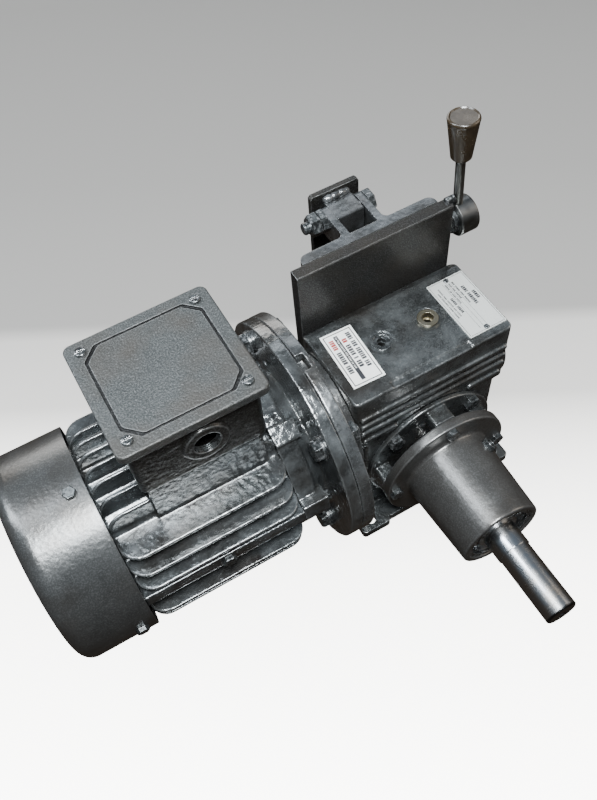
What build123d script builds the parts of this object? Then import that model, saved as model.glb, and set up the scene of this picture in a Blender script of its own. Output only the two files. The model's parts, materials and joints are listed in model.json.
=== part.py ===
from build123d import *
import math
import os

# Worm gear set: finned flange motor, worm reducer with an extended output
# shaft, and a hinged mounting bracket with a lever. Millimetres, +Z up.
# Origin: middle of the four foot holes, on the underside of the feet.
# The motor and the worm lie along X, and the output shaft points along -Y.

# Driving dimensions
MOTOR_Z = 129.0             # height of the motor and worm axis
CENTRES = 55.0              # worm axis to wheel axis
OUT_Z = MOTOR_Z - CENTRES   # height of the output axis
TOP_Z = 189.0               # top face of the gear housing
RUN_FIT = 0.03              # radial clearance of a shaft turning in its bearing
SLIDE_FIT = 0.05            # radial clearance of the hinge and the lever

# Gear housing
HOUSE_X = 75.0
LOWER_X = 67.0
HOUSE_Y = 43.0
STEP_Z = 121.0
FOOT_T = 10.0
FOOT_HOLE_X = 69.0
FOOT_HOLE_Y = 56.0
FOOT_HOLE_R = 5.5
CAVITY_X = 58.0
CAVITY_Y = 33.0
CAVITY_Z0 = 26.0
CAVITY_Z1 = 179.0
RIB_HEIGHTS = (166.0, 155.5, 145.0)
WHEEL_OPENING_R = 44.0

PLUG_X0, PLUG_X1 = -24.0, 20.5
PLUG_R = 7.0
LANTERN_BOLT_R = 55.0
BARREL_BOLT_R = 53.0
REAR_BOLT_R = 50.0
END_BOLT_R = 32.0
NECK_BOLT_R = 42.0
NAMEPLATE_X, NAMEPLATE_Y = 55.5, -4.0
RIVETS_Y = (-32.5, 24.5)
RIVET_R = 1.5
PLATE_BOLTS = [(-55.0, 152.0), (-55.0, 174.0), (52.0, 152.0), (52.0, 174.0)]

# Worm and wheel
MODULE = 2.5
TEETH = 30
PITCH = math.pi * MODULE
WHEEL_PITCH_R = MODULE * TEETH / 2
WORM_PITCH_R = CENTRES - WHEEL_PITCH_R
WORM_ROOT_R = WORM_PITCH_R - 3.0
WORM_TURNS = 6
FLANK = math.radians(20)
THREAD_T = 2.9              # thread and tooth thickness at the pitch line
WHEEL_TIP_R = WHEEL_PITCH_R + 2.4
WHEEL_WIDTH = 26.0
LEAD_ANGLE = math.degrees(math.atan(PITCH / (2 * math.pi * WORM_PITCH_R)))

# Bearings: bore, outside and width
QUILL_BEARING = (40.0, 68.0, 15.0)
SMALL_BEARING = (25.0, 52.0, 15.0)
SHAFT_BEARING = (30.0, 62.0, 16.0)
QUILL_R = QUILL_BEARING[0] / 2
WHEEL_SEAT_R = SHAFT_BEARING[0] / 2
JOURNAL_R = SMALL_BEARING[0] / 2

# Flanges between the motor and the gearbox
FLANGE_R = 100.0
FLANGE_GEAR_X = -92.4
FLANGE_JOINT_X = -103.0
FLANGE_MOTOR_X = -114.0
FLANGE_PCD_R = 82.5
SPIGOT_R = 65.0
SPIGOT_L = 3.5

# Motor
FRAME_X0 = -279.0
FRAME_X1 = -144.0
FRAME_R = 70.0
FRAME_BORE_R = 64.0
FIN_TIP_R = 86.0
FIN_T = 3.0
FIN_PITCH = 13.25
FIN_CORNER_R = 15.0
STACK_X0 = -250.0
STACK_X1 = -168.0
ROTOR_R = 41.5
MOTOR_SHAFT_R = 12.0
COWL_R = 87.0
COWL_T = 2.0
COWL_X0 = -342.0
COWL_X1 = FRAME_X0
BAR_Y = 81.5
BAR_Z = MOTOR_Z + 13.5
PAD_SCREW_X = -211.0
TIE_BOLTS = [(-74.0, BAR_Z), (74.0, BAR_Z), (-33.0, MOTOR_Z + 58.8), (33.0, MOTOR_Z + 58.8),
             (-33.0, MOTOR_Z - 58.8), (33.0, MOTOR_Z - 58.8)]
COWL_SCREWS = (98, 188, 278, 8)

# Terminal box
BOX_TOP = 285.0
LID_X0, LID_X1 = -252.0, -143.0
LID_Y = 51.5
LID_T = 7.0
GROOVE_W, GROOVE_D = 2.2, 1.8
BOX_X0, BOX_X1 = -247.0, -149.0
BOX_Y = 47.0
BOX_FLOOR = 225.0
BOX_WALL = 4.0
PEDESTAL_X0, PEDESTAL_X1 = -243.0, -153.0
ENTRY_X, ENTRY_Z, ENTRY_R = -194.0, 253.5, 10.0
GASKET_T = 1.5
LID_SCREW_X = (-241.0, -154.5)
LID_SCREW_Y = 40.5

# Output unit
RING_R = 63.0
RING_Y0, RING_Y1 = -47.5, -43.0
BARREL_RING_R = 60.0
BARREL_RING_Y0, BARREL_RING_Y1 = -72.0, -62.5
BARREL_R0, BARREL_R1 = 37.0, 40.5
BARREL_FACE_Y = -151.0
SHAFT_STEP_Y = -169.0
SHAFT_TIP_Y = -230.0
SHAFT_R = 14.0
SHAFT_REAR_Y = 44.0
PLUG_ANGLE = 51.7

# Tilting mount
PLATE_X0, PLATE_X1 = -73.0, 70.0
PLATE_Y0, PLATE_Y1 = 43.0, 54.0
PLATE_Z0, PLATE_Z1 = 140.0, 253.0
STRIP_Y1 = 62.75
STRIP_Z0 = 203.0
STRIP_HALF = 62.0
HINGE_X = -1.6
HINGE_Y, HINGE_Z = 92.0, 246.0
HINGE_GAP = 25.6
HINGE_BLOCK_W = 24.0
LUG_T = 6.2
LUG_Y1 = 101.0
LUG_Z0 = 229.0
PIVOT_R = 5.0
WALL_Y0, WALL_Y1 = 107.0, 112.0
WALL_HALF = 22.5
WALL_Z0, WALL_Z1 = 160.0, 258.5
WALL_HOLES_Z = (175.0, 208.0)
WALL_HOLE_R = 4.5
LEVER_Y, LEVER_Z = 48.5, 232.0
LEVER_LEAN = 3.6
BOSS_R = 15.5
BOSS_X0, BOSS_X1 = 74.3, 91.5
STUD_R = 6.0
STUD_HEAD_X = 85.0
ROD_R = 4.0
ROD_X = 79.0
ROD_START = 7.2             # from the boss axis
ROD_IN_KNOB = 12.0
KNOB_START, KNOB_END = 59.0, 96.0
CLEVIS_BOLTS = [(-48.8, 240.5), (48.8, 240.5), (-48.8, 214.0), (48.8, 214.0)]
STUD_X0 = 54.0
PLATE_SKIN = 2.5            # metal left in front of the blind clevis bolt holes
PIN_X0, PIN_Y, PIN_Z, PIN_R = 66.0, 49.2, 254.2, 3.3
ARM = Plane(origin=(ROD_X, LEVER_Y, LEVER_Z), x_dir=(1, 0, 0),
            z_dir=(0, math.sin(math.radians(LEVER_LEAN)), math.cos(math.radians(LEVER_LEAN))))

# Hole patterns
CORNERS = (45, 135, 225, 315)
CROSS = (0, 90, 180, 270)


def facing_right(x, y=0.0, z=0.0):
    """Plane whose normal is +X, with local x along Y and local y along Z."""
    return Plane(origin=(x, y, z), x_dir=(0, 1, 0), z_dir=(1, 0, 0))


def facing_left(x, y=0.0, z=0.0):
    """Plane whose normal is -X, with local y along Z."""
    return Plane(origin=(x, y, z), x_dir=(0, -1, 0), z_dir=(-1, 0, 0))


def facing_front(y, x=0.0, z=0.0):
    """Plane whose normal is -Y, with local x along X and local y along Z."""
    return Plane(origin=(x, y, z), x_dir=(1, 0, 0), z_dir=(0, -1, 0))


def facing_rear(y, x=0.0, z=0.0):
    """Plane whose normal is +Y, with local y along Z."""
    return Plane(origin=(x, y, z), x_dir=(-1, 0, 0), z_dir=(0, 1, 0))


def facing_up(z, x=0.0, y=0.0):
    """Plane whose normal is +Z."""
    return Plane(origin=(x, y, z))


def block(x0, x1, y0, y1, z0, z1, mode=Mode.ADD):
    """Box between two corners, added to the part being built."""
    with BuildSketch(facing_up(z0, (x0 + x1) / 2, (y0 + y1) / 2)) as outline:
        Rectangle(x1 - x0, y1 - y0)
    extrude(outline.sketch, amount=z1 - z0, mode=mode)


def disc(plane, radius, length, hole=0.0, mode=Mode.ADD):
    """Round disc or ring that grows along the plane's normal."""
    with BuildSketch(plane) as outline:
        Circle(radius)
        if hole > 0:
            Circle(hole, mode=Mode.SUBTRACT)
    extrude(outline.sketch, amount=length, mode=mode)


def hexagon(plane, flats, height, hole=0.0):
    """Hexagonal head or nut standing on the plane, with its outer edges chamfered."""
    bevel = height * 0.12
    with BuildSketch(plane) as outline:
        RegularPolygon(flats / 2, 6, major_radius=False)
    extrude(outline.sketch, amount=height - bevel)
    with BuildSketch(plane.offset(height - bevel)) as upper:
        RegularPolygon(flats / 2, 6, major_radius=False)
    extrude(upper.sketch, amount=bevel, taper=45)
    if hole > 0:
        disc(plane, hole, height, mode=Mode.SUBTRACT)


def hex_bolt(plane, radius, length, flats, head):
    """Hex bolt with its head on the plane and its shank below it."""
    hexagon(plane, flats, head)
    disc(plane, radius, -length)


def at(plane, x, y):
    """The same plane, moved by x and y within itself."""
    return Plane(origin=plane.from_local_coords((x, y, 0)), x_dir=plane.x_dir, z_dir=plane.z_dir)


def ring_points(radius, angles):
    """Points on a circle, with the angles in degrees."""
    return [(radius * math.cos(math.radians(a)), radius * math.sin(math.radians(a))) for a in angles]


def save(part, name):
    """Label a finished piece and write it."""
    part.label = name
    export_step(part, f"parts/{name}.step")


def make_bearing(plane, size):
    """Ball bearing made of an outer ring, an inner ring and its balls, as separate solids."""
    bore, outside, width = size
    mean_r = (bore + outside) / 4
    ball_r = (outside - bore) * 0.155
    disc(plane, outside / 2, width, (mean_r + outside / 2) / 2)
    disc(plane, (mean_r + bore / 2) / 2, width, bore / 2 + RUN_FIT)
    with BuildSketch(Plane(origin=plane.origin, x_dir=plane.z_dir, z_dir=plane.x_dir)) as groove:
        with Locations((width / 2, mean_r)):
            Circle(ball_r)
    revolve(groove.sketch, axis=Axis(plane.origin, plane.z_dir), mode=Mode.SUBTRACT)
    middle = plane.offset(width / 2)
    centres = [middle.from_local_coords((x, y, 0)) for x, y in ring_points(mean_r, range(0, 360, 40))]
    with Locations(*centres):
        Sphere(ball_r - 0.05)


# ---------------------------------------------------------------- gear housing

def make_gear_housing():
    with BuildPart() as housing:
        block(-HOUSE_X, HOUSE_X, -HOUSE_Y, HOUSE_Y, STEP_Z, TOP_Z)
        block(-LOWER_X, LOWER_X, -HOUSE_Y, HOUSE_Y, FOOT_T, STEP_Z)
        fillet(housing.edges().filter_by(Axis.Z), radius=5)
        chamfer(housing.faces().sort_by(Axis.Z)[-1].outer_wire().edges(), length=1.0)
        with BuildSketch(Plane.YZ.offset(-HOUSE_X - 1)) as slope:
            with BuildLine():
                Polyline((HOUSE_Y - 10, TOP_Z + 1), (HOUSE_Y - 8, TOP_Z), (HOUSE_Y, TOP_Z - 5),
                         (HOUSE_Y + 1, TOP_Z - 5), (HOUSE_Y + 1, TOP_Z + 1), close=True)
            make_face()
        extrude(slope.sketch, amount=2 * HOUSE_X + 2, mode=Mode.SUBTRACT)
        # foot plate with four lugs
        foot_x, foot_y = 82.0, 68.0
        lug = 30.0
        block(-foot_x + 8, foot_x - 8, -foot_y + 4, foot_y - 4, 0, FOOT_T)
        for side in (-1, 1):
            for depth in (-1, 1):
                middle_x = side * (foot_x - lug / 2)
                middle_y = depth * (foot_y - lug / 2)
                with BuildSketch(facing_up(0, middle_x, middle_y)) as pad:
                    RectangleRounded(lug, lug, 4)
                extrude(pad.sketch, amount=FOOT_T)
        # stiffening ribs round the front and the rear wall
        for z in RIB_HEIGHTS:
            with BuildSketch(facing_front(-HOUSE_Y + 1, 0, z)) as rib:
                SlotOverall(2 * HOUSE_X - 8, 5)
            extrude(rib.sketch, amount=3.6)
        with BuildSketch(facing_front(-HOUSE_Y + 1, 0, 132)) as low_rib:
            with Locations((-52, 0), (52, 0)):
                SlotOverall(34, 5)
        extrude(low_rib.sketch, amount=3.6)
        # round bosses for the lantern and the rear cover
        disc(facing_front(-HOUSE_Y + 1, 0, OUT_Z), RING_R - 0.5, 1)
        # shallow step and spot faces on the top
        block(-40, 36, -HOUSE_Y - 1, -35.5, TOP_Z - 1.2, TOP_Z + 1, mode=Mode.SUBTRACT)
        for x in (PLUG_X0, PLUG_X1):
            disc(facing_up(TOP_Z - 0.8, x, 0), 11.5, 2, mode=Mode.SUBTRACT)
        # inside
        block(-CAVITY_X, CAVITY_X, -CAVITY_Y, CAVITY_Y, CAVITY_Z0, CAVITY_Z1, mode=Mode.SUBTRACT)
        block(-LOWER_X + 12, LOWER_X - 12, -CAVITY_Y, CAVITY_Y, 0, 16, mode=Mode.SUBTRACT)
        disc(facing_front(-CAVITY_Y, 0, OUT_Z), 38, -6)
        disc(facing_front(-27, 0, OUT_Z), SHAFT_BEARING[1] / 2, 20, mode=Mode.SUBTRACT)
        disc(facing_rear(CAVITY_Y - 1, 0, OUT_Z), WHEEL_OPENING_R, 20, mode=Mode.SUBTRACT)
        disc(facing_left(-CAVITY_X + 1, 0, MOTOR_Z), QUILL_BEARING[1] / 2, 30, mode=Mode.SUBTRACT)
        disc(facing_right(CAVITY_X - 1, 0, MOTOR_Z), SMALL_BEARING[1] / 2, 30, mode=Mode.SUBTRACT)
        # threaded holes
        foot_holes = [(sx * FOOT_HOLE_X, sy * FOOT_HOLE_Y) for sx in (-1, 1) for sy in (-1, 1)]
        for x, y in foot_holes:
            disc(facing_up(-1, x, y), FOOT_HOLE_R, FOOT_T + 2, mode=Mode.SUBTRACT)
        for x, z in ring_points(LANTERN_BOLT_R, CORNERS):
            disc(facing_front(-34, x, OUT_Z + z), 4, 20, mode=Mode.SUBTRACT)
        for x, z in ring_points(REAR_BOLT_R, range(0, 360, 60)):
            disc(facing_rear(34, x, OUT_Z + z), 3, 20, mode=Mode.SUBTRACT)
        for y, z in ring_points(END_BOLT_R, CORNERS):
            disc(facing_right(63, y, MOTOR_Z + z), 2.5, 20, mode=Mode.SUBTRACT)
        for y, z in ring_points(NECK_BOLT_R, CORNERS):
            disc(facing_left(-63, y, MOTOR_Z + z), 3, 20, mode=Mode.SUBTRACT)
        for x, z in PLATE_BOLTS:
            disc(facing_rear(34, x, z), 4, 20, mode=Mode.SUBTRACT)
        for x in (PLUG_X0, PLUG_X1):
            disc(facing_up(CAVITY_Z1 - 1, x, 0), PLUG_R, 20, mode=Mode.SUBTRACT)
        for y in RIVETS_Y:
            disc(facing_up(TOP_Z - 3, NAMEPLATE_X, y), RIVET_R, 4, mode=Mode.SUBTRACT)
    save(housing.part, "gear_housing")


def make_top_fittings():
    with BuildPart() as filler:
        disc(facing_up(CAVITY_Z1, PLUG_X0, 0), PLUG_R, TOP_Z - CAVITY_Z1)
        disc(facing_up(TOP_Z - 0.8, PLUG_X0, 0), 8.8, 2.0, hole=PLUG_R)
        disc(facing_up(TOP_Z - 5, PLUG_X0, 0), 3.6, 6, mode=Mode.SUBTRACT)
        with BuildSketch(facing_up(TOP_Z - 5, PLUG_X0, 0)) as socket:
            RegularPolygon(4.4, 6)
        extrude(socket.sketch, amount=8, mode=Mode.SUBTRACT)
    save(filler.part, "filler_plug")

    with BuildPart() as breather:
        disc(facing_up(CAVITY_Z1, PLUG_X1, 0), PLUG_R, TOP_Z - CAVITY_Z1)
        disc(facing_up(TOP_Z - 0.8, PLUG_X1, 0), 8.8, 2.6, hole=5.0)
        disc(facing_up(TOP_Z - 6, PLUG_X1, 0), 5.0, 8, mode=Mode.SUBTRACT)
    save(breather.part, "breather_plug")

    with BuildPart() as plate:
        with BuildSketch(facing_up(TOP_Z, NAMEPLATE_X, NAMEPLATE_Y)) as outline:
            RectangleRounded(35.5, 63.0, 1.0)
            with Locations(*[(0, y - NAMEPLATE_Y) for y in RIVETS_Y]):
                Circle(RIVET_R, mode=Mode.SUBTRACT)
        extrude(outline.sketch, amount=0.8)
    save(plate.part, "nameplate")

    with BuildPart() as rivets:
        for y in RIVETS_Y:
            disc(facing_up(TOP_Z - 3, NAMEPLATE_X, y), RIVET_R, 3.8)
            disc(facing_up(TOP_Z + 0.8, NAMEPLATE_X, y), 2.4, 1.0)
        fillet(rivets.edges().group_by(Axis.Z)[-1], radius=0.8)
    save(rivets.part, "nameplate_rivets")

    with BuildPart() as label:
        with BuildSketch(facing_up(TOP_Z, -51.5, 0.5).rotated((0, 0, -2))):
            Rectangle(28.5, 57.5)
        extrude(amount=0.25)
    save(label.part, "oil_label")


# ---------------------------------------------------------------- worm and wheel

def make_worm_shaft():
    half = WORM_TURNS / 2 * PITCH
    root_half = THREAD_T / 2 + 3.0 * math.tan(FLANK)
    tip_half = THREAD_T / 2 - 2.4 * math.tan(FLANK)
    # Built along Z, so that the thread starts on +X, and then turned to lie along X.
    with BuildPart() as thread:
        with BuildLine():
            spiral = Helix(PITCH, 2 * half, WORM_PITCH_R, center=(0, 0, -half))
        with BuildSketch(Plane(origin=spiral @ 0, x_dir=(1, 0, 0), z_dir=spiral % 0)):
            with BuildLine():
                Polyline((-3.4, -root_half), (2.4, -tip_half), (2.4, tip_half), (-3.4, root_half),
                         close=True)
            make_face()
        sweep(path=spiral, is_frenet=True)
    with BuildPart() as worm:
        add(thread.part.rotate(Axis.Y, 90))
        disc(facing_right(-half - 4, 0, 0), WORM_ROOT_R, 2 * half + 8)
        disc(facing_right(half + 4, 0, 0), 14.5, CAVITY_X - half - 4)
        disc(facing_right(CAVITY_X, 0, 0), JOURNAL_R, 16)
        disc(facing_right(-90, 0, 0), QUILL_R, 90 - half - 4)
        disc(facing_right(-90, 0, 0), MOTOR_SHAFT_R, 40, mode=Mode.SUBTRACT)
        block(-91, -50, -4, 4, 0, MOTOR_SHAFT_R + 3.3, mode=Mode.SUBTRACT)
    shaft = worm.part.moved(Location((0, 0, MOTOR_Z)))
    save(shaft, "worm_shaft")


def make_worm_wheel():
    hub_r = 30.0
    gap_tip = (PITCH - THREAD_T) / 2 + 2.4 * math.tan(FLANK) + 0.35
    gap_root = (PITCH - THREAD_T) / 2 - 2.9 * math.tan(FLANK)
    slant = Plane(origin=(0, 0, 0), x_dir=(1, 0, 0), z_dir=(0, -1, 0)).rotated((0, 0, -LEAD_ANGLE))
    with BuildPart() as gap:
        with BuildSketch(slant):
            with BuildLine():
                Polyline((-gap_root, WHEEL_PITCH_R - 2.9), (gap_root, WHEEL_PITCH_R - 2.9),
                         (gap_tip, WHEEL_TIP_R + 0.5), (-gap_tip, WHEEL_TIP_R + 0.5), close=True)
            make_face()
        extrude(amount=WHEEL_WIDTH, both=True)
    with BuildPart() as wheel:
        disc(facing_rear(-WHEEL_WIDTH / 2, 0, 0), WHEEL_TIP_R, WHEEL_WIDTH, hole=hub_r)
        for tooth in range(TEETH):
            add(gap.part.rotate(Axis.Y, tooth * 360 / TEETH), mode=Mode.SUBTRACT)
    save(wheel.part.moved(Location((0, 0, OUT_Z))), "worm_wheel_rim")

    with BuildPart() as hub:
        disc(facing_rear(-18, 0, OUT_Z), hub_r, 36, hole=WHEEL_SEAT_R)
        disc(facing_rear(-18, 0, OUT_Z), hub_r, 5, hole=24, mode=Mode.SUBTRACT)
        disc(facing_rear(13, 0, OUT_Z), hub_r, 5, hole=24, mode=Mode.SUBTRACT)
        block(-4, 4, -18, 18, OUT_Z, OUT_Z + WHEEL_SEAT_R + 3.3, mode=Mode.SUBTRACT)
    save(hub.part, "wheel_hub")

    with BuildPart() as key:
        block(-4, 4, -15, 15, OUT_Z + WHEEL_SEAT_R - 4, OUT_Z + WHEEL_SEAT_R + 3.0)
    save(key.part, "wheel_key")


def make_output_shaft():
    with BuildPart() as shaft:
        disc(facing_front(SHAFT_REAR_Y, 0, OUT_Z), JOURNAL_R, 16)
        disc(facing_front(SHAFT_REAR_Y - 16, 0, OUT_Z), WHEEL_SEAT_R, SHAFT_REAR_Y - 16 - SHAFT_STEP_Y)
        disc(facing_front(SHAFT_STEP_Y, 0, OUT_Z), SHAFT_R, SHAFT_STEP_Y - SHAFT_TIP_Y)
        tip = shaft.faces().sort_by(Axis.Y)[0].outer_wire().edges()
        chamfer(tip, length=1.2)
        block(-4, 4, -15, 15, OUT_Z + WHEEL_SEAT_R - 4, OUT_Z + 20, mode=Mode.SUBTRACT)
        with BuildSketch(Plane.YZ) as centre:
            with BuildLine():
                Polyline((SHAFT_TIP_Y - 1, OUT_Z), (SHAFT_TIP_Y - 1, OUT_Z + 4.2),
                         (SHAFT_TIP_Y + 4, OUT_Z + 1.5), (SHAFT_TIP_Y + 9, OUT_Z + 1.5),
                         (SHAFT_TIP_Y + 10, OUT_Z), close=True)
            make_face()
        revolve(centre.sketch, axis=Axis((0, 0, OUT_Z), (0, 1, 0)), mode=Mode.SUBTRACT)
    save(shaft.part, "output_shaft")


def make_bearings():
    with BuildPart() as worm_bearings:
        make_bearing(facing_right(-CAVITY_X - 15, 0, MOTOR_Z), QUILL_BEARING)
        make_bearing(facing_right(CAVITY_X, 0, MOTOR_Z), SMALL_BEARING)
    save(worm_bearings.part, "worm_bearings")

    with BuildPart() as output_bearings:
        make_bearing(facing_rear(29, 0, OUT_Z), SMALL_BEARING)
        make_bearing(facing_rear(-43, 0, OUT_Z), SHAFT_BEARING)
        make_bearing(facing_rear(-147, 0, OUT_Z), SHAFT_BEARING)
    save(output_bearings.part, "output_bearings")

    with BuildPart() as motor_bearings:
        make_bearing(facing_right(-284, 0, MOTOR_Z), SMALL_BEARING)
        make_bearing(facing_right(-133, 0, MOTOR_Z), SMALL_BEARING)
    save(motor_bearings.part, "motor_bearings")


def make_covers():
    with BuildPart() as end_cover:
        disc(facing_right(HOUSE_X, 0, MOTOR_Z), 38, 6)
        disc(facing_right(HOUSE_X, 0, MOTOR_Z), 26, -2, hole=18)
        fillet(end_cover.edges().group_by(Axis.X)[-1], radius=1.5)
        for y, z in ring_points(END_BOLT_R, CORNERS):
            disc(facing_right(HOUSE_X - 1, y, MOTOR_Z + z), 2.6, 9, mode=Mode.SUBTRACT)
    save(end_cover.part, "worm_end_cover")

    with BuildPart() as rear_cover:
        disc(facing_rear(HOUSE_Y, 0, OUT_Z), 56, 6)
        disc(facing_rear(HOUSE_Y, 0, OUT_Z), WHEEL_OPENING_R, -6, hole=40)
        disc(facing_rear(HOUSE_Y + 6, 0, OUT_Z), 33, 3)
        disc(facing_rear(29, 0, OUT_Z), 33, 14.5)
        disc(facing_rear(28, 0, OUT_Z), SMALL_BEARING[1] / 2, 17, mode=Mode.SUBTRACT)
        for x, z in ring_points(REAR_BOLT_R, range(0, 360, 60)):
            disc(facing_rear(HOUSE_Y - 1, x, OUT_Z + z), 3.2, 9, mode=Mode.SUBTRACT)
    save(rear_cover.part, "rear_cover")

    with BuildPart() as cover_screws:
        for y, z in ring_points(END_BOLT_R, CORNERS):
            hex_bolt(facing_right(HOUSE_X + 6, y, MOTOR_Z + z), 2.5, 16, 8, 3.5)
        for x, z in ring_points(REAR_BOLT_R, range(0, 360, 60)):
            hex_bolt(facing_rear(HOUSE_Y + 6, x, OUT_Z + z), 3, 14, 10, 4)
    save(cover_screws.part, "cover_screws")


def make_input_flange():
    with BuildPart() as flange:
        disc(facing_left(-HOUSE_X, 0, MOTOR_Z), 56, 18)
        disc(facing_left(FLANGE_GEAR_X, 0, MOTOR_Z), FLANGE_R, FLANGE_GEAR_X - FLANGE_JOINT_X)
        rims = flange.faces().sort_by(Axis.X)[0].outer_wire().edges()
        chamfer(rims, length=0.6)
        disc(facing_left(FLANGE_JOINT_X + 4, 0, MOTOR_Z), SPIGOT_R, 5, mode=Mode.SUBTRACT)
        disc(facing_left(-70, 0, MOTOR_Z), QUILL_R + 1, 60, mode=Mode.SUBTRACT)
        disc(facing_left(-82, 0, MOTOR_Z), 31, 40, mode=Mode.SUBTRACT)
        # rectangular pry slot in the top of the rim
        block(FLANGE_JOINT_X - 1, FLANGE_JOINT_X + 7, -16, -2, MOTOR_Z + FLANGE_R - 9,
              MOTOR_Z + FLANGE_R + 2, mode=Mode.SUBTRACT)
        for y, z in ring_points(FLANGE_PCD_R, CORNERS):
            disc(facing_left(FLANGE_GEAR_X + 1, y, MOTOR_Z + z), 5.3, 13, mode=Mode.SUBTRACT)
        for y, z in ring_points(NECK_BOLT_R, CORNERS):
            disc(facing_left(-74, y, MOTOR_Z + z), 3.2, 40, mode=Mode.SUBTRACT)
            disc(facing_left(-92, y, MOTOR_Z + z), 5.5, 30, mode=Mode.SUBTRACT)
    save(flange.part, "input_flange")

    with BuildPart() as neck_screws:
        for y, z in ring_points(NECK_BOLT_R, CORNERS):
            disc(facing_left(-92, y, MOTOR_Z + z), 5, 6)
            disc(facing_left(-64, y, MOTOR_Z + z), 3, 28)
            with BuildSketch(facing_left(-95, y, MOTOR_Z + z)) as socket:
                RegularPolygon(2.9, 6)
            extrude(socket.sketch, amount=5, mode=Mode.SUBTRACT)
    save(neck_screws.part, "input_flange_screws")

    with BuildPart() as seals:
        disc(facing_left(-82, 0, MOTOR_Z), 31, 8, hole=QUILL_R + RUN_FIT)
        disc(facing_left(-84, 0, MOTOR_Z), 28, 8, hole=QUILL_R + 3, mode=Mode.SUBTRACT)
        disc(facing_rear(-131, 0, OUT_Z), 23.5, 8, hole=WHEEL_SEAT_R + RUN_FIT)
        disc(facing_rear(-129, 0, OUT_Z), 21, 8, hole=WHEEL_SEAT_R + 2.5, mode=Mode.SUBTRACT)
    save(seals.part, "shaft_seals")


# ---------------------------------------------------------------- output unit

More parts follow.
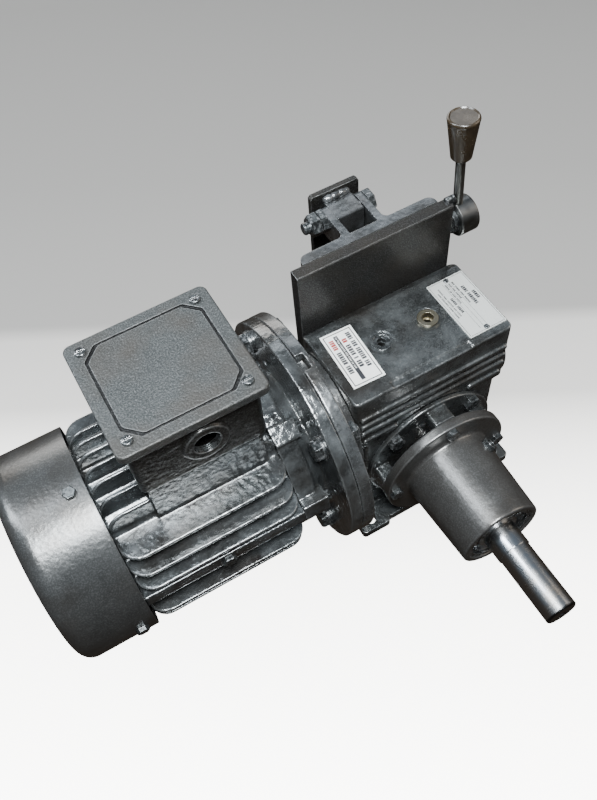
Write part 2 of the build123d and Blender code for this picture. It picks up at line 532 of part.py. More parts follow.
def make_output_unit():
    with BuildPart() as lantern:
        disc(facing_front(RING_Y1, 0, OUT_Z), RING_R, RING_Y1 - RING_Y0)
        rim = lantern.faces().sort_by(Axis.Y)[0].outer_wire().edges()
        fillet(rim, radius=1.2)
        for angle in CROSS:
            direction = Plane(origin=(0, RING_Y0, OUT_Z), x_dir=(math.cos(math.radians(angle)), 0,
                              math.sin(math.radians(angle))), z_dir=(0, -1, 0))
            with BuildSketch(at(direction, BARREL_BOLT_R - 1, 0)) as leg:
                RectangleRounded(15, 20, 2.5)
            extrude(leg.sketch, amount=RING_Y0 - BARREL_RING_Y1)
        disc(facing_front(RING_Y1 + 1, 0, OUT_Z), 24, 10, mode=Mode.SUBTRACT)
        for x, z in ring_points(LANTERN_BOLT_R, CORNERS):
            disc(facing_front(RING_Y1 + 1, x, OUT_Z + z), 4.2, 10, mode=Mode.SUBTRACT)
        for x, z in ring_points(BARREL_BOLT_R, CROSS):
            disc(facing_front(-50, x, OUT_Z + z), 3, 20, mode=Mode.SUBTRACT)
    save(lantern.part, "output_lantern")

    with BuildPart() as lantern_bolts:
        for x, z in ring_points(LANTERN_BOLT_R, CORNERS):
            hex_bolt(facing_front(RING_Y0, x, OUT_Z + z), 4, 13, 13, 5.3)
    save(lantern_bolts.part, "lantern_bolts")

    with BuildPart() as barrel:
        with BuildSketch(Plane.YZ):
            with BuildLine():
                Polyline((BARREL_RING_Y1, OUT_Z + 20), (BARREL_RING_Y1, OUT_Z + BARREL_RING_R),
                         (BARREL_RING_Y0, OUT_Z + BARREL_RING_R),
                         (BARREL_RING_Y0, OUT_Z + BARREL_R1 + 2), (BARREL_RING_Y0 - 2, OUT_Z + BARREL_R1),
                         (BARREL_FACE_Y, OUT_Z + BARREL_R0), (BARREL_FACE_Y, OUT_Z + 31),
                         (BARREL_FACE_Y + 20, OUT_Z + 31), (BARREL_FACE_Y + 20, OUT_Z + 23.5),
                         (BARREL_FACE_Y + 29, OUT_Z + 23.5), (BARREL_FACE_Y + 29, OUT_Z + 20), close=True)
            make_face()
        revolve(axis=Axis((0, 0, OUT_Z), (0, 1, 0)))
        flange_rims = barrel.edges().filter_by(GeomType.CIRCLE).sort_by(SortBy.RADIUS)[-3:]
        fillet(flange_rims.filter_by(lambda e: abs(e.radius - BARREL_RING_R) < 0.1), radius=1.2)
        front_rim = barrel.edges().filter_by(lambda e: e.geom_type == GeomType.CIRCLE
                                             and abs(e.radius - BARREL_R0) < 0.1)
        chamfer(front_rim, length=1.0)
        for x, z in ring_points(BARREL_BOLT_R, CROSS):
            disc(facing_front(BARREL_RING_Y1 + 1, x, OUT_Z + z), 3.2, 12, mode=Mode.SUBTRACT)
        tilt = Plane(origin=(0, -86, OUT_Z), x_dir=(0, 1, 0),
                     z_dir=(math.sin(math.radians(PLUG_ANGLE)), 0, math.cos(math.radians(PLUG_ANGLE))))
        disc(Plane(origin=tilt.from_local_coords((0, 0, 39.0)), x_dir=tilt.x_dir, z_dir=tilt.z_dir),
             8.0, 6, mode=Mode.SUBTRACT)
        disc(tilt, 4.0, 45, mode=Mode.SUBTRACT)
    save(barrel.part, "extension_barrel")

    with BuildPart() as plug:
        base = Plane(origin=tilt.from_local_coords((0, 0, 39.0)), x_dir=tilt.x_dir, z_dir=tilt.z_dir)
        disc(base, 6.5, 4.5)
        disc(base, 4.0, -12)
        disc(Plane(origin=tilt.from_local_coords((0, 0, 41.0)), x_dir=tilt.x_dir, z_dir=tilt.z_dir),
             4.4, 6, mode=Mode.SUBTRACT)
    save(plug.part, "barrel_plug")

    with BuildPart() as barrel_bolts:
        for x, z in ring_points(BARREL_BOLT_R, CROSS):
            hex_bolt(facing_front(BARREL_RING_Y0, x, OUT_Z + z), 3, 21, 10.5, 4.5)
    save(barrel_bolts.part, "barrel_bolts")

    with BuildPart() as circlip:
        ring = Plane(origin=(0, -148.0, OUT_Z), x_dir=(1, 0, 0), z_dir=(0, -1, 0))
        with BuildSketch(ring):
            Circle(31)
            Circle(27.5, mode=Mode.SUBTRACT)
            with Locations(Location((0, 0, 0), 60)):
                with Locations((29, 0)):
                    Rectangle(8, 7, mode=Mode.SUBTRACT)
            for angle in (48, 72):
                with Locations(ring_points(26.5, (angle,))[0]):
                    Circle(3.2)
                    Circle(1.2, mode=Mode.SUBTRACT)
        extrude(amount=1.5)
    save(circlip.part, "retaining_ring")


# ---------------------------------------------------------------- motor

def make_motor_frame():
    with BuildPart() as frame:
        disc(facing_right(FRAME_X0, 0, MOTOR_Z), FRAME_R, FRAME_X1 - FRAME_X0)
        length = FRAME_X1 - FRAME_X0
        middle = (FRAME_X0 + FRAME_X1) / 2
        for step in (-4, -3, -2, -1, 2, 3, 4):
            height = step * FIN_PITCH
            reach = math.sqrt(FIN_TIP_R ** 2 - height ** 2)
            with BuildSketch(facing_up(MOTOR_Z + height - FIN_T / 2, middle, 0)) as fin:
                RectangleRounded(length, 2 * reach, FIN_CORNER_R)
            extrude(fin.sketch, amount=FIN_T)
        for step in (-3, -2, -1, 0, 1, 2, 3):
            offset_y = step * FIN_PITCH
            reach = math.sqrt(FIN_TIP_R ** 2 - offset_y ** 2)
            with BuildSketch(facing_front(offset_y + FIN_T / 2, middle, MOTOR_Z)) as fin:
                RectangleRounded(length, 2 * reach, FIN_CORNER_R)
            extrude(fin.sketch, amount=FIN_T)
        # longitudinal bars at the sides, which take the tie bolts
        for side in (-1, 1):
            y0, y1 = sorted((side * 60, side * BAR_Y))
            block(FRAME_X0, FRAME_X1, y0, y1, BAR_Z - 7, BAR_Z + 7)
        # pedestal of the terminal box
        block(PEDESTAL_X0, PEDESTAL_X1, -45, 45, MOTOR_Z + 30, BOX_FLOOR)
        disc(facing_right(FRAME_X0 - 1, 0, MOTOR_Z), FRAME_BORE_R, length + 2, mode=Mode.SUBTRACT)
        disc(facing_up(MOTOR_Z + 50, ENTRY_X, 0), 16, 60, mode=Mode.SUBTRACT)
        block(PEDESTAL_X0 + 8, ENTRY_X - 20, -36, 36, MOTOR_Z + 72, BOX_FLOOR - 8, mode=Mode.SUBTRACT)
        block(ENTRY_X + 20, PEDESTAL_X1 - 8, -36, 36, MOTOR_Z + 72, BOX_FLOOR - 8, mode=Mode.SUBTRACT)
        disc(facing_front(-BAR_Y + 8, PAD_SCREW_X, BAR_Z), 3, 20, mode=Mode.SUBTRACT)
        for y, z in TIE_BOLTS:
            disc(facing_left(FRAME_X1 - 12, y, z), 2.5, -20, mode=Mode.SUBTRACT)
    save(frame.part, "motor_frame")


def make_motor_inside():
    with BuildPart() as stator:
        disc(facing_right(STACK_X0, 0, MOTOR_Z), FRAME_BORE_R, STACK_X1 - STACK_X0, hole=ROTOR_R + 0.5)
        for angle in range(0, 360, 15):
            y, z = ring_points(49, (angle,))[0]
            disc(facing_right(STACK_X0 - 1, y, MOTOR_Z + z), 4.0, STACK_X1 - STACK_X0 + 2,
                 mode=Mode.SUBTRACT)
    save(stator.part, "stator_core")

    with BuildPart() as windings:
        for x, way in ((STACK_X0, facing_left), (STACK_X1, facing_right)):
            disc(way(x, 0, MOTOR_Z), 57, 18, hole=44)
        fillet(windings.edges().group_by(Axis.X)[0] + windings.edges().group_by(Axis.X)[-1], radius=5)
        for angle in range(0, 360, 15):
            y, z = ring_points(49, (angle,))[0]
            disc(facing_right(STACK_X0, y, MOTOR_Z + z), 3.9, STACK_X1 - STACK_X0)
    save(windings.part, "stator_windings")

    with BuildPart() as rotor:
        disc(facing_right(STACK_X0, 0, MOTOR_Z), ROTOR_R, STACK_X1 - STACK_X0, hole=16)
        for x, way in ((STACK_X0, facing_left), (STACK_X1, facing_right)):
            disc(way(x, 0, MOTOR_Z), 40, 8, hole=28)
    save(rotor.part, "rotor_core")

    with BuildPart() as shaft:
        disc(facing_right(-318, 0, MOTOR_Z), 9, 34)
        disc(facing_right(-284, 0, MOTOR_Z), JOURNAL_R, 15)
        disc(facing_right(-269, 0, MOTOR_Z), 16, 136)
        disc(facing_right(-133, 0, MOTOR_Z), JOURNAL_R, 15)
        disc(facing_right(-118, 0, MOTOR_Z), MOTOR_SHAFT_R, 66)
        block(-88, -53, -4, 4, MOTOR_Z + MOTOR_SHAFT_R - 4, MOTOR_Z + 20, mode=Mode.SUBTRACT)
    save(shaft.part, "motor_shaft")

    with BuildPart() as key:
        block(-88, -53, -4, 4, MOTOR_Z + MOTOR_SHAFT_R - 4, MOTOR_Z + MOTOR_SHAFT_R + 3)
    save(key.part, "motor_key")

    with BuildPart() as fan:
        disc(facing_right(-318, 0, MOTOR_Z), 22, 22, hole=9)
        disc(facing_right(-299, 0, MOTOR_Z), 65, 3, hole=20)
        for angle in range(0, 360, 45):
            way = Plane(origin=(-318, 0, MOTOR_Z), x_dir=(0, math.cos(math.radians(angle)),
                        math.sin(math.radians(angle))), z_dir=(1, 0, 0))
            with BuildSketch(at(way, 42, 0)) as blade:
                Rectangle(46, 2.5)
            extrude(blade.sketch, amount=20)
    save(fan.part, "cooling_fan")


def make_end_shields():
    with BuildPart() as rear:
        disc(facing_left(FRAME_X0, 0, MOTOR_Z), FRAME_R, 6)
        disc(facing_right(FRAME_X0, 0, MOTOR_Z), FRAME_BORE_R, 5)
        disc(facing_right(FRAME_X0, 0, MOTOR_Z), 58, 6, mode=Mode.SUBTRACT)
        disc(facing_right(-285, 0, MOTOR_Z), 33, 17)
        disc(facing_right(-284, 0, MOTOR_Z), SMALL_BEARING[1] / 2, 20, mode=Mode.SUBTRACT)
        disc(facing_right(-286, 0, MOTOR_Z), 10, 20, mode=Mode.SUBTRACT)
        # four lugs that carry the cowl screws
        for angle in COWL_SCREWS:
            way = Plane(origin=(-285, 0, MOTOR_Z), x_dir=(0, math.cos(math.radians(angle)),
                        math.sin(math.radians(angle))), z_dir=(-1, 0, 0))
            with BuildSketch(at(way, 76, 0)) as lug:
                Rectangle(17.2, 14)
            extrude(lug.sketch, amount=12)
            with BuildSketch(at(way, 69, 0)) as web:
                Rectangle(14, 14)
            extrude(web.sketch, amount=-5)
            centre_y = math.cos(math.radians(angle))
            centre_z = math.sin(math.radians(angle))
            radial = Plane(origin=(-291, 76 * centre_y, MOTOR_Z + 76 * centre_z), x_dir=(1, 0, 0),
                           z_dir=(0, centre_y, centre_z))
            disc(radial, 2.5, 20, mode=Mode.SUBTRACT)
    save(rear.part, "rear_end_shield")

    with BuildPart() as drive:
        disc(facing_right(FRAME_X1, 0, MOTOR_Z), 73, 18)
        fillet(drive.edges().group_by(Axis.X)[-1], radius=4)
        with BuildSketch(Plane.XZ) as cone:
            with BuildLine():
                Polyline((-127, 0), (-127, 70), (FLANGE_MOTOR_X, 60), (FLANGE_MOTOR_X, 0), close=True)
            make_face()
        revolve(cone.sketch.moved(Location((0, 0, MOTOR_Z))), axis=Axis((0, 0, MOTOR_Z), (1, 0, 0)))
        disc(facing_left(FLANGE_JOINT_X, 0, MOTOR_Z), FLANGE_R, FLANGE_JOINT_X - FLANGE_MOTOR_X)
        chamfer(drive.edges().filter_by(lambda e: e.geom_type == GeomType.CIRCLE
                                        and abs(e.radius - FLANGE_R) < 0.1), length=0.6)
        disc(facing_right(FLANGE_JOINT_X, 0, MOTOR_Z), SPIGOT_R, SPIGOT_L)
        for y, z in TIE_BOLTS:
            angle = math.degrees(math.atan2(z - MOTOR_Z, y))
            way = Plane(origin=(FRAME_X1, 0, MOTOR_Z), x_dir=(0, math.cos(math.radians(angle)),
                        math.sin(math.radians(angle))), z_dir=(1, 0, 0))
            reach = math.hypot(y, z - MOTOR_Z) + 7.5
            with BuildSketch(at(way, (50 + reach) / 2, 0)) as lug:
                Rectangle(reach - 50, 16)
            extrude(lug.sketch, amount=22)
        disc(facing_right(FRAME_X1 - 1, 0, MOTOR_Z), 62, 12, mode=Mode.SUBTRACT)
        disc(facing_right(FRAME_X1 + 11, 0, MOTOR_Z), SMALL_BEARING[1] / 2, 15, mode=Mode.SUBTRACT)
        disc(facing_right(FRAME_X1, 0, MOTOR_Z), MOTOR_SHAFT_R + 1, 60, mode=Mode.SUBTRACT)
        disc(facing_right(-113, 0, MOTOR_Z), 48, 20, mode=Mode.SUBTRACT)
        for y, z in TIE_BOLTS:
            disc(facing_right(FRAME_X1 - 1, y, z), 2.7, 40, mode=Mode.SUBTRACT)
        for y, z in TIE_BOLTS:
            disc(facing_right(FRAME_X1 + 22, y, z), 6.5, 8 - 0.5, mode=Mode.SUBTRACT)
        for y, z in ring_points(FLANGE_PCD_R, CORNERS):
            disc(facing_left(FLANGE_JOINT_X + 1, y, MOTOR_Z + z), 5.3, 13, mode=Mode.SUBTRACT)
            disc(facing_left(FLANGE_MOTOR_X, y, MOTOR_Z + z), 11.5, 9, mode=Mode.SUBTRACT)
    save(drive.part, "drive_end_shield")

    with BuildPart() as tie_bolts:
        for y, z in TIE_BOLTS:
            hex_bolt(facing_right(FRAME_X1 + 22, y, z), 2.5, 33, 8, 3.5)
    save(tie_bolts.part, "shield_tie_bolts")

    with BuildPart() as flange_bolts:
        for y, z in ring_points(FLANGE_PCD_R, CORNERS):
            hex_bolt(facing_left(FLANGE_MOTOR_X - 2, y, MOTOR_Z + z), 5, 33, 16, 6.4)
            disc(facing_left(FLANGE_MOTOR_X, y, MOTOR_Z + z), 10, 2, hole=5)
            hexagon(facing_right(FLANGE_GEAR_X, y, MOTOR_Z + z), 16, 8, hole=5)
    save(flange_bolts.part, "flange_bolts")

    with BuildPart() as pad_screw:
        hex_bolt(facing_front(-BAR_Y, PAD_SCREW_X, BAR_Z), 3, 8, 10, 4)
    save(pad_screw.part, "earth_screw")


def make_cowl():
    with BuildPart() as cowl:
        disc(facing_left(COWL_X1, 0, MOTOR_Z), COWL_R, COWL_X1 - COWL_X0)
        fillet(cowl.edges().group_by(Axis.X)[0], radius=13)
        offset(amount=-COWL_T, openings=cowl.faces().sort_by(Axis.X)[-1])
        # rings of slots in the rear face
        for ring_r, count in ((20, 6), (33, 10), (46, 14), (59, 18)):
            for k in range(count):
                angle = 360 / count * k
                way = Plane(origin=(COWL_X0 - 1, 0, MOTOR_Z), x_dir=(0, math.cos(math.radians(angle)),
                            math.sin(math.radians(angle))), z_dir=(1, 0, 0))
                with BuildSketch(at(way, ring_r, 0)) as slot:
                    SlotOverall(13, 6, rotation=90)
                extrude(slot.sketch, amount=COWL_T + 2, mode=Mode.SUBTRACT)
        for angle in COWL_SCREWS:
            way = Plane(origin=(-291, 0, MOTOR_Z), x_dir=(1, 0, 0),
                        z_dir=(0, math.cos(math.radians(angle)), math.sin(math.radians(angle))))
            disc(way, 2.7, 100, mode=Mode.SUBTRACT)
    save(cowl.part, "fan_cowl")

    with BuildPart() as screws:
        for angle in COWL_SCREWS:
            c, s = math.cos(math.radians(angle)), math.sin(math.radians(angle))
            seat = Plane(origin=(-291, COWL_R * c, MOTOR_Z + COWL_R * s), x_dir=(1, 0, 0), z_dir=(0, c, s))
            hex_bolt(seat, 2.5, 10.5, 9, 3.8)
    save(screws.part, "cowl_screws")


def make_terminal_box():
    box_top = BOX_TOP - LID_T - GASKET_T
    lid_x = (LID_X0 + LID_X1) / 2
    box_x = (BOX_X0 + BOX_X1) / 2
    with BuildPart() as box:
        with BuildSketch(facing_up(BOX_FLOOR, box_x, 0)):
            RectangleRounded(BOX_X1 - BOX_X0, 2 * BOX_Y, 6)
        extrude(amount=box_top - BOX_FLOOR)
        with BuildSketch(facing_up(BOX_FLOOR + BOX_WALL, box_x, 0)):
            RectangleRounded(BOX_X1 - BOX_X0 - 2 * BOX_WALL, 2 * (BOX_Y - BOX_WALL), 3)
        extrude(amount=box_top, mode=Mode.SUBTRACT)
        for x in LID_SCREW_X:
            for y in (-LID_SCREW_Y, LID_SCREW_Y):
                disc(facing_up(BOX_FLOOR + BOX_WALL, x, y), 5, box_top - BOX_FLOOR - BOX_WALL)
        disc(facing_front(-BOX_Y + 0.5, ENTRY_X, ENTRY_Z), 17, 3.5)
        fillet(box.faces().sort_by(Axis.Y)[0].outer_wire().edges(), radius=1.2)
        disc(facing_front(-BOX_Y + BOX_WALL + 3, ENTRY_X, ENTRY_Z), ENTRY_R, 20, mode=Mode.SUBTRACT)
        disc(facing_up(BOX_FLOOR - 1, ENTRY_X, 0), 16, 10, mode=Mode.SUBTRACT)
        for x in LID_SCREW_X:
            for y in (-LID_SCREW_Y, LID_SCREW_Y):
                disc(facing_up(box_top - 14, x, y), 2, 20, mode=Mode.SUBTRACT)
    save(box.part, "terminal_box_base")

    with BuildPart() as gasket:
        with BuildSketch(facing_up(box_top, box_x, 0)):
            RectangleRounded(BOX_X1 - BOX_X0, 2 * BOX_Y, 6)
            RectangleRounded(BOX_X1 - BOX_X0 - 2 * BOX_WALL, 2 * (BOX_Y - BOX_WALL), 3, mode=Mode.SUBTRACT)
            for x in LID_SCREW_X:
                for y in (-LID_SCREW_Y, LID_SCREW_Y):
                    with Locations((x - box_x, y)):
                        Circle(5)
                        Circle(2.1, mode=Mode.SUBTRACT)
        extrude(amount=GASKET_T)
    save(gasket.part, "lid_gasket")

    with BuildPart() as lid:
        with BuildSketch(facing_up(BOX_TOP - LID_T, lid_x, 0)):
            RectangleRounded(LID_X1 - LID_X0, 2 * LID_Y, 6)
        extrude(amount=LID_T)
        fillet(lid.faces().sort_by(Axis.Z)[-1].outer_wire().edges(), radius=1.5)
        half_x, half_y, cut = (LID_X1 - LID_X0) / 2 - 10, LID_Y - 9, 11
        for grow, mode in ((0.0, Mode.SUBTRACT), (GROOVE_W, Mode.ADD)):
            a, b = half_x - grow, half_y - grow
            with BuildSketch(facing_up(BOX_TOP - GROOVE_D, lid_x, 0)) as panel:
                with BuildLine():
                    FilletPolyline((-a + cut, -b), (a - cut, -b), (a, -b + cut), (a, b - cut),
                                   (a - cut, b), (-a + cut, b), (-a, b - cut), (-a, -b + cut),
                                   radius=4, close=True)
                make_face()
            extrude(panel.sketch, amount=GROOVE_D, mode=mode)
        for x in LID_SCREW_X:
            for y in (-LID_SCREW_Y, LID_SCREW_Y):
                disc(facing_up(BOX_TOP - LID_T - 1, x, y), 2.1, LID_T + 2, mode=Mode.SUBTRACT)
    save(lid.part, "terminal_box_lid")

    with BuildPart() as screws:
        for x in LID_SCREW_X:
            for y in (-LID_SCREW_Y, LID_SCREW_Y):
                disc(facing_up(BOX_TOP, x, y), 4.2, 2.4)
                disc(facing_up(BOX_TOP, x, y), 2, -20)
        fillet(screws.edges().group_by(Axis.Z)[-1], radius=1.0)
        for x in LID_SCREW_X:
            for y in (-LID_SCREW_Y, LID_SCREW_Y):
                block(x - 5, x + 5, y - 0.6, y + 0.6, BOX_TOP + 1.2, BOX_TOP + 4, mode=Mode.SUBTRACT)
    save(screws.part, "lid_screws")

    with BuildPart() as terminals:
        block(-178, -156, -24, 24, BOX_FLOOR + BOX_WALL, BOX_FLOOR + BOX_WALL + 12)
        for x in (-172, -162):
            for y in (-16, 0, 16):
                disc(facing_up(BOX_FLOOR + BOX_WALL + 12, x, y), 2.5, 10)
                hexagon(facing_up(BOX_FLOOR + BOX_WALL + 13, x, y), 8, 4)
    save(terminals.part, "terminal_block")


# ---------------------------------------------------------------- tilting mount

def make_mounting_plate():
    with BuildPart() as plate:
        block(PLATE_X0, PLATE_X1, PLATE_Y0, PLATE_Y1, PLATE_Z0, PLATE_Z1)
        chamfer(plate.edges().filter_by(Axis.X).group_by(Axis.Z)[-1], length=0.8)
        for x, z in PLATE_BOLTS:
            disc(facing_rear(PLATE_Y0 - 1, x, z), 4.2, 20, mode=Mode.SUBTRACT)
        for x, z in CLEVIS_BOLTS:
            disc(facing_rear(PLATE_Y0 + PLATE_SKIN, x, z), 4, 20, mode=Mode.SUBTRACT)
        disc(facing_right(STUD_X0, LEVER_Y, LEVER_Z), 4, 40, mode=Mode.SUBTRACT)
        disc(facing_right(PIN_X0, PIN_Y, PIN_Z), PIN_R, 20, mode=Mode.SUBTRACT)
    save(plate.part, "mounting_plate")

    with BuildPart() as plate_bolts:
        for x, z in PLATE_BOLTS:
            hex_bolt(facing_rear(PLATE_Y1, x, z), 4, 19, 13, 5.3)
    save(plate_bolts.part, "plate_bolts")

    with BuildPart() as pin:
        disc(facing_right(PIN_X0, PIN_Y, PIN_Z), PIN_R, 74.0 - PIN_X0)
        chamfer(pin.edges().group_by(Axis.X)[0], length=0.5)
    save(pin.part, "index_pin")


def make_clevis():
    inner = (HINGE_X - HINGE_GAP / 2, HINGE_X + HINGE_GAP / 2)
    with BuildPart() as clevis:
        block(-STRIP_HALF, STRIP_HALF, PLATE_Y1, STRIP_Y1, STRIP_Z0, PLATE_Z1)
        ends = clevis.edges().filter_by(Axis.Z).group_by(Axis.Y)[-1]
        fillet(ends, radius=7)
        with BuildSketch(Plane.YZ.offset(inner[0] - LUG_T)) as side:
            with BuildLine():
                FilletPolyline((STRIP_Y1 - 1, LUG_Z0), (LUG_Y1, LUG_Z0), (LUG_Y1, PLATE_Z1),
                               (STRIP_Y1 - 1, PLATE_Z1), radius=5)
                Line((STRIP_Y1 - 1, PLATE_Z1), (STRIP_Y1 - 1, LUG_Z0))
            make_face()
        extrude(side.sketch, amount=HINGE_GAP + 2 * LUG_T)
        block(inner[0], inner[1], STRIP_Y1, LUG_Y1 + 5, STRIP_Z0, PLATE_Z1 + 1, mode=Mode.SUBTRACT)
        roots = clevis.edges().filter_by(Axis.Z).filter_by(
            lambda e: abs(e.center().Y - STRIP_Y1) < 0.1 and abs(e.center().X - HINGE_X) < 30)
        outer_roots = roots.filter_by(lambda e: abs(e.center().X - HINGE_X) > HINGE_GAP / 2 + 1)
        fillet(outer_roots, radius=5)
        disc(facing_right(HINGE_X - 40, HINGE_Y, HINGE_Z), PIVOT_R, 80, mode=Mode.SUBTRACT)
        for x, z in CLEVIS_BOLTS:
            disc(facing_rear(PLATE_Y1 - 1, x, z), 4.2, 20, mode=Mode.SUBTRACT)
    save(clevis.part, "clevis_bracket")

    with BuildPart() as clevis_bolts:
        for x, z in CLEVIS_BOLTS:
            hex_bolt(facing_rear(STRIP_Y1, x, z), 4, STRIP_Y1 - PLATE_Y0 - PLATE_SKIN, 13, 5.3)
    save(clevis_bolts.part, "clevis_bolts")

    left = inner[0] - LUG_T
    right = inner[1] + LUG_T
    with BuildPart() as pivot:
        hexagon(facing_right(right, HINGE_Y, HINGE_Z), 17, 6.4)
        disc(facing_right(left - 20, HINGE_Y, HINGE_Z), PIVOT_R, right - left + 20)
        chamfer(pivot.edges().group_by(Axis.X)[0], length=0.8)
    save(pivot.part, "pivot_bolt")

    with BuildPart() as nuts:
        hexagon(facing_left(left, HINGE_Y, HINGE_Z), 17, 5.5, hole=PIVOT_R)
        hexagon(facing_left(left - 6.5, HINGE_Y, HINGE_Z), 17, 8, hole=PIVOT_R)
    save(nuts.part, "pivot_nuts")


def make_hinge_plate():
    block_top = 251.8
    half = HINGE_BLOCK_W / 2
    with BuildPart() as hinge_block:
        block(HINGE_X - half, HINGE_X + half, 82, WALL_Y0, 228, block_top)
        fillet(hinge_block.edges().filter_by(Axis.X), radius=1.0)
        disc(facing_right(HINGE_X - 20, HINGE_Y, HINGE_Z), PIVOT_R + SLIDE_FIT, 40, mode=Mode.SUBTRACT)
    save(hinge_block.part, "hinge_block")

    with BuildPart() as weld:
        lumps = 9
        for k in range(lumps):
            x = HINGE_X - half + 2.5 + k * (HINGE_BLOCK_W - 5) / (lumps - 1)
            size = 3.3 + 0.5 * math.sin(2.3 * k)
            with Locations((x, WALL_Y0 - 2.2, block_top + 1.2)):
                Sphere(size)
        block(HINGE_X - 30, HINGE_X + 30, 90, WALL_Y0 + 5, 240, block_top, mode=Mode.SUBTRACT)
        block(HINGE_X - 30, HINGE_X + 30, WALL_Y0, WALL_Y0 + 10, 240, 270, mode=Mode.SUBTRACT)
    save(weld.part, "hinge_weld")

    with BuildPart() as wall:
        block(HINGE_X - WALL_HALF, HINGE_X + WALL_HALF, WALL_Y0, WALL_Y1, WALL_Z0, WALL_Z1)
        chamfer(wall.edges().filter_by(Axis.Y).group_by(Axis.Z)[-1], length=2.0)
        for z in WALL_HOLES_Z:
            disc(facing_rear(WALL_Y0 - 1, HINGE_X, z), WALL_HOLE_R, 10, mode=Mode.SUBTRACT)
    save(wall.part, "wall_plate")


def make_lever():
    head_r = 9.0
    recess_r = 10.0
    with BuildPart() as stud:
        disc(facing_right(STUD_X0, LEVER_Y, LEVER_Z), 4, 20)
        disc(facing_right(PLATE_X1, LEVER_Y, LEVER_Z), STUD_R, STUD_HEAD_X - PLATE_X1)
        disc(facing_right(STUD_HEAD_X, LEVER_Y, LEVER_Z), head_r, 6)
        with BuildSketch(facing_right(STUD_HEAD_X + 2.5, LEVER_Y, LEVER_Z)) as socket:
            RegularPolygon(4.5, 6)
        extrude(socket.sketch, amount=5, mode=Mode.SUBTRACT)
    save(stud.part, "lever_stud")

    with BuildPart() as washer:
        disc(facing_right(PLATE_X1, LEVER_Y, LEVER_Z), 11.0, 4, hole=STUD_R)
    save(washer.part, "lever_washer")

    with BuildPart() as boss:
        disc(facing_right(BOSS_X0, LEVER_Y, LEVER_Z), BOSS_R, BOSS_X1 - BOSS_X0)
        fillet(boss.edges().group_by(Axis.X)[-1], radius=2.0)
        chamfer(boss.edges().group_by(Axis.X)[0], length=1.0)
        disc(facing_right(BOSS_X0 - 1, LEVER_Y, LEVER_Z), STUD_R + SLIDE_FIT, 30, mode=Mode.SUBTRACT)
        disc(facing_right(STUD_HEAD_X - 0.4, LEVER_Y, LEVER_Z), recess_r, 10, mode=Mode.SUBTRACT)
        disc(ARM.offset(ROD_START), ROD_R, 20, mode=Mode.SUBTRACT)
    save(boss.part, "lever_boss")

    with BuildPart() as rod:
        disc(ARM.offset(ROD_START), ROD_R, KNOB_START - ROD_START + ROD_IN_KNOB)
    save(rod.part, "lever_rod")

    with BuildPart() as knob:
        with BuildSketch(Plane(origin=ARM.origin, x_dir=(1, 0, 0), z_dir=ARM.y_dir * -1)) as half:
            with BuildLine():
                Line((0, KNOB_START), (7.2, KNOB_START))
                Line((7.2, KNOB_START), (8.4, KNOB_START + 1.5))
                Line((8.4, KNOB_START + 1.5), (12.4, KNOB_END - 3))
                RadiusArc((12.4, KNOB_END - 3), (11.2, KNOB_END), -2.2)
                Line((11.2, KNOB_END), (10.2, KNOB_END - 0.8))
                Line((10.2, KNOB_END - 0.8), (0, KNOB_END - 0.8))
                Line((0, KNOB_END - 0.8), (0, KNOB_START))
            make_face()
        revolve(half.sketch, axis=Axis(ARM.origin, ARM.z_dir))
        disc(ARM.offset(KNOB_START - 1), ROD_R, ROD_IN_KNOB + 1, mode=Mode.SUBTRACT)
        disc(ARM.offset(KNOB_END - 0.8), 10.2, 0.1, mode=Mode.SUBTRACT)
    save(knob.part, "lever_knob")


os.makedirs("parts", exist_ok=True)
make_gear_housing()
make_top_fittings()
make_worm_shaft()
make_worm_wheel()
make_output_shaft()
make_bearings()
make_covers()
make_input_flange()
make_output_unit()
make_motor_frame()
make_motor_inside()
make_end_shields()
make_cowl()
make_terminal_box()
make_mounting_plate()
make_clevis()
make_hinge_plate()
make_lever()
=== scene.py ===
"""Looks of the worm gear set: a geared motor with an extended output shaft and a hinged wall bracket.

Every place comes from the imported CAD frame. Lengths are in metres, and MM turns millimetres into metres.
"""

import json
import math

import bmesh
import bpy
from mathutils import Matrix, Vector


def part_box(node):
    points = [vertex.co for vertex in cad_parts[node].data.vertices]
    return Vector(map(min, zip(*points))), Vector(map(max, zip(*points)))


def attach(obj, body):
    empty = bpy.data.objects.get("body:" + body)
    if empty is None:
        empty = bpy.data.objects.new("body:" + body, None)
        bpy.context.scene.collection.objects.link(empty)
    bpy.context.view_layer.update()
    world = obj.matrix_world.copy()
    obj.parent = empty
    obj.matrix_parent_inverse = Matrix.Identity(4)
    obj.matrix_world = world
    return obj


MM = 0.001

# Camera at the photograph's viewing angle. These rounded values come from a fit of the view.
CAMERA_PLACE = (-0.2539, -0.3410, 0.7349)
CAMERA_TURN = (33.13, 3.68, -29.54)
CAMERA_LENS = 37.9

# Colours, linear
PAINT_DARK = (0.030, 0.032, 0.032)
PAINT_LIGHT = (0.120, 0.130, 0.132)
# Bare metal where paint is worn, also used as a painted highlight on edges
PAINT_WORN_AND_HIGHLIGHT = (0.34, 0.35, 0.35)
PAINT_BROWN = (0.050, 0.043, 0.036)
# Dirt, and also the painted shade in the creases of cast parts
DIRT_AND_CREASE_SHADE = (0.030, 0.027, 0.022)
STEEL = (0.56, 0.57, 0.58)
STEEL_DARK = (0.16, 0.165, 0.165)
BRASS = (0.44, 0.39, 0.27)
# Near black painted into plug holes as painted shade
SOCKET_SHADE = (0.010, 0.009, 0.008)
BRONZE = (0.66, 0.42, 0.18)
INK = (0.030, 0.030, 0.035)
PAPER = (0.80, 0.80, 0.77)

# The floor's tone changes along this direction: distance along it, and tone. It glows by this much.
FLOOR_FADE = (0.493, 0.870, 0.0)
FLOOR_TONES = ((-0.34, 0.95), (-0.12, 0.62), (0.06, 0.145), (0.15, 0.115), (0.17, 0.060),
               (0.40, 0.046), (0.80, 0.033))
FLOOR_GLOW = 10.0

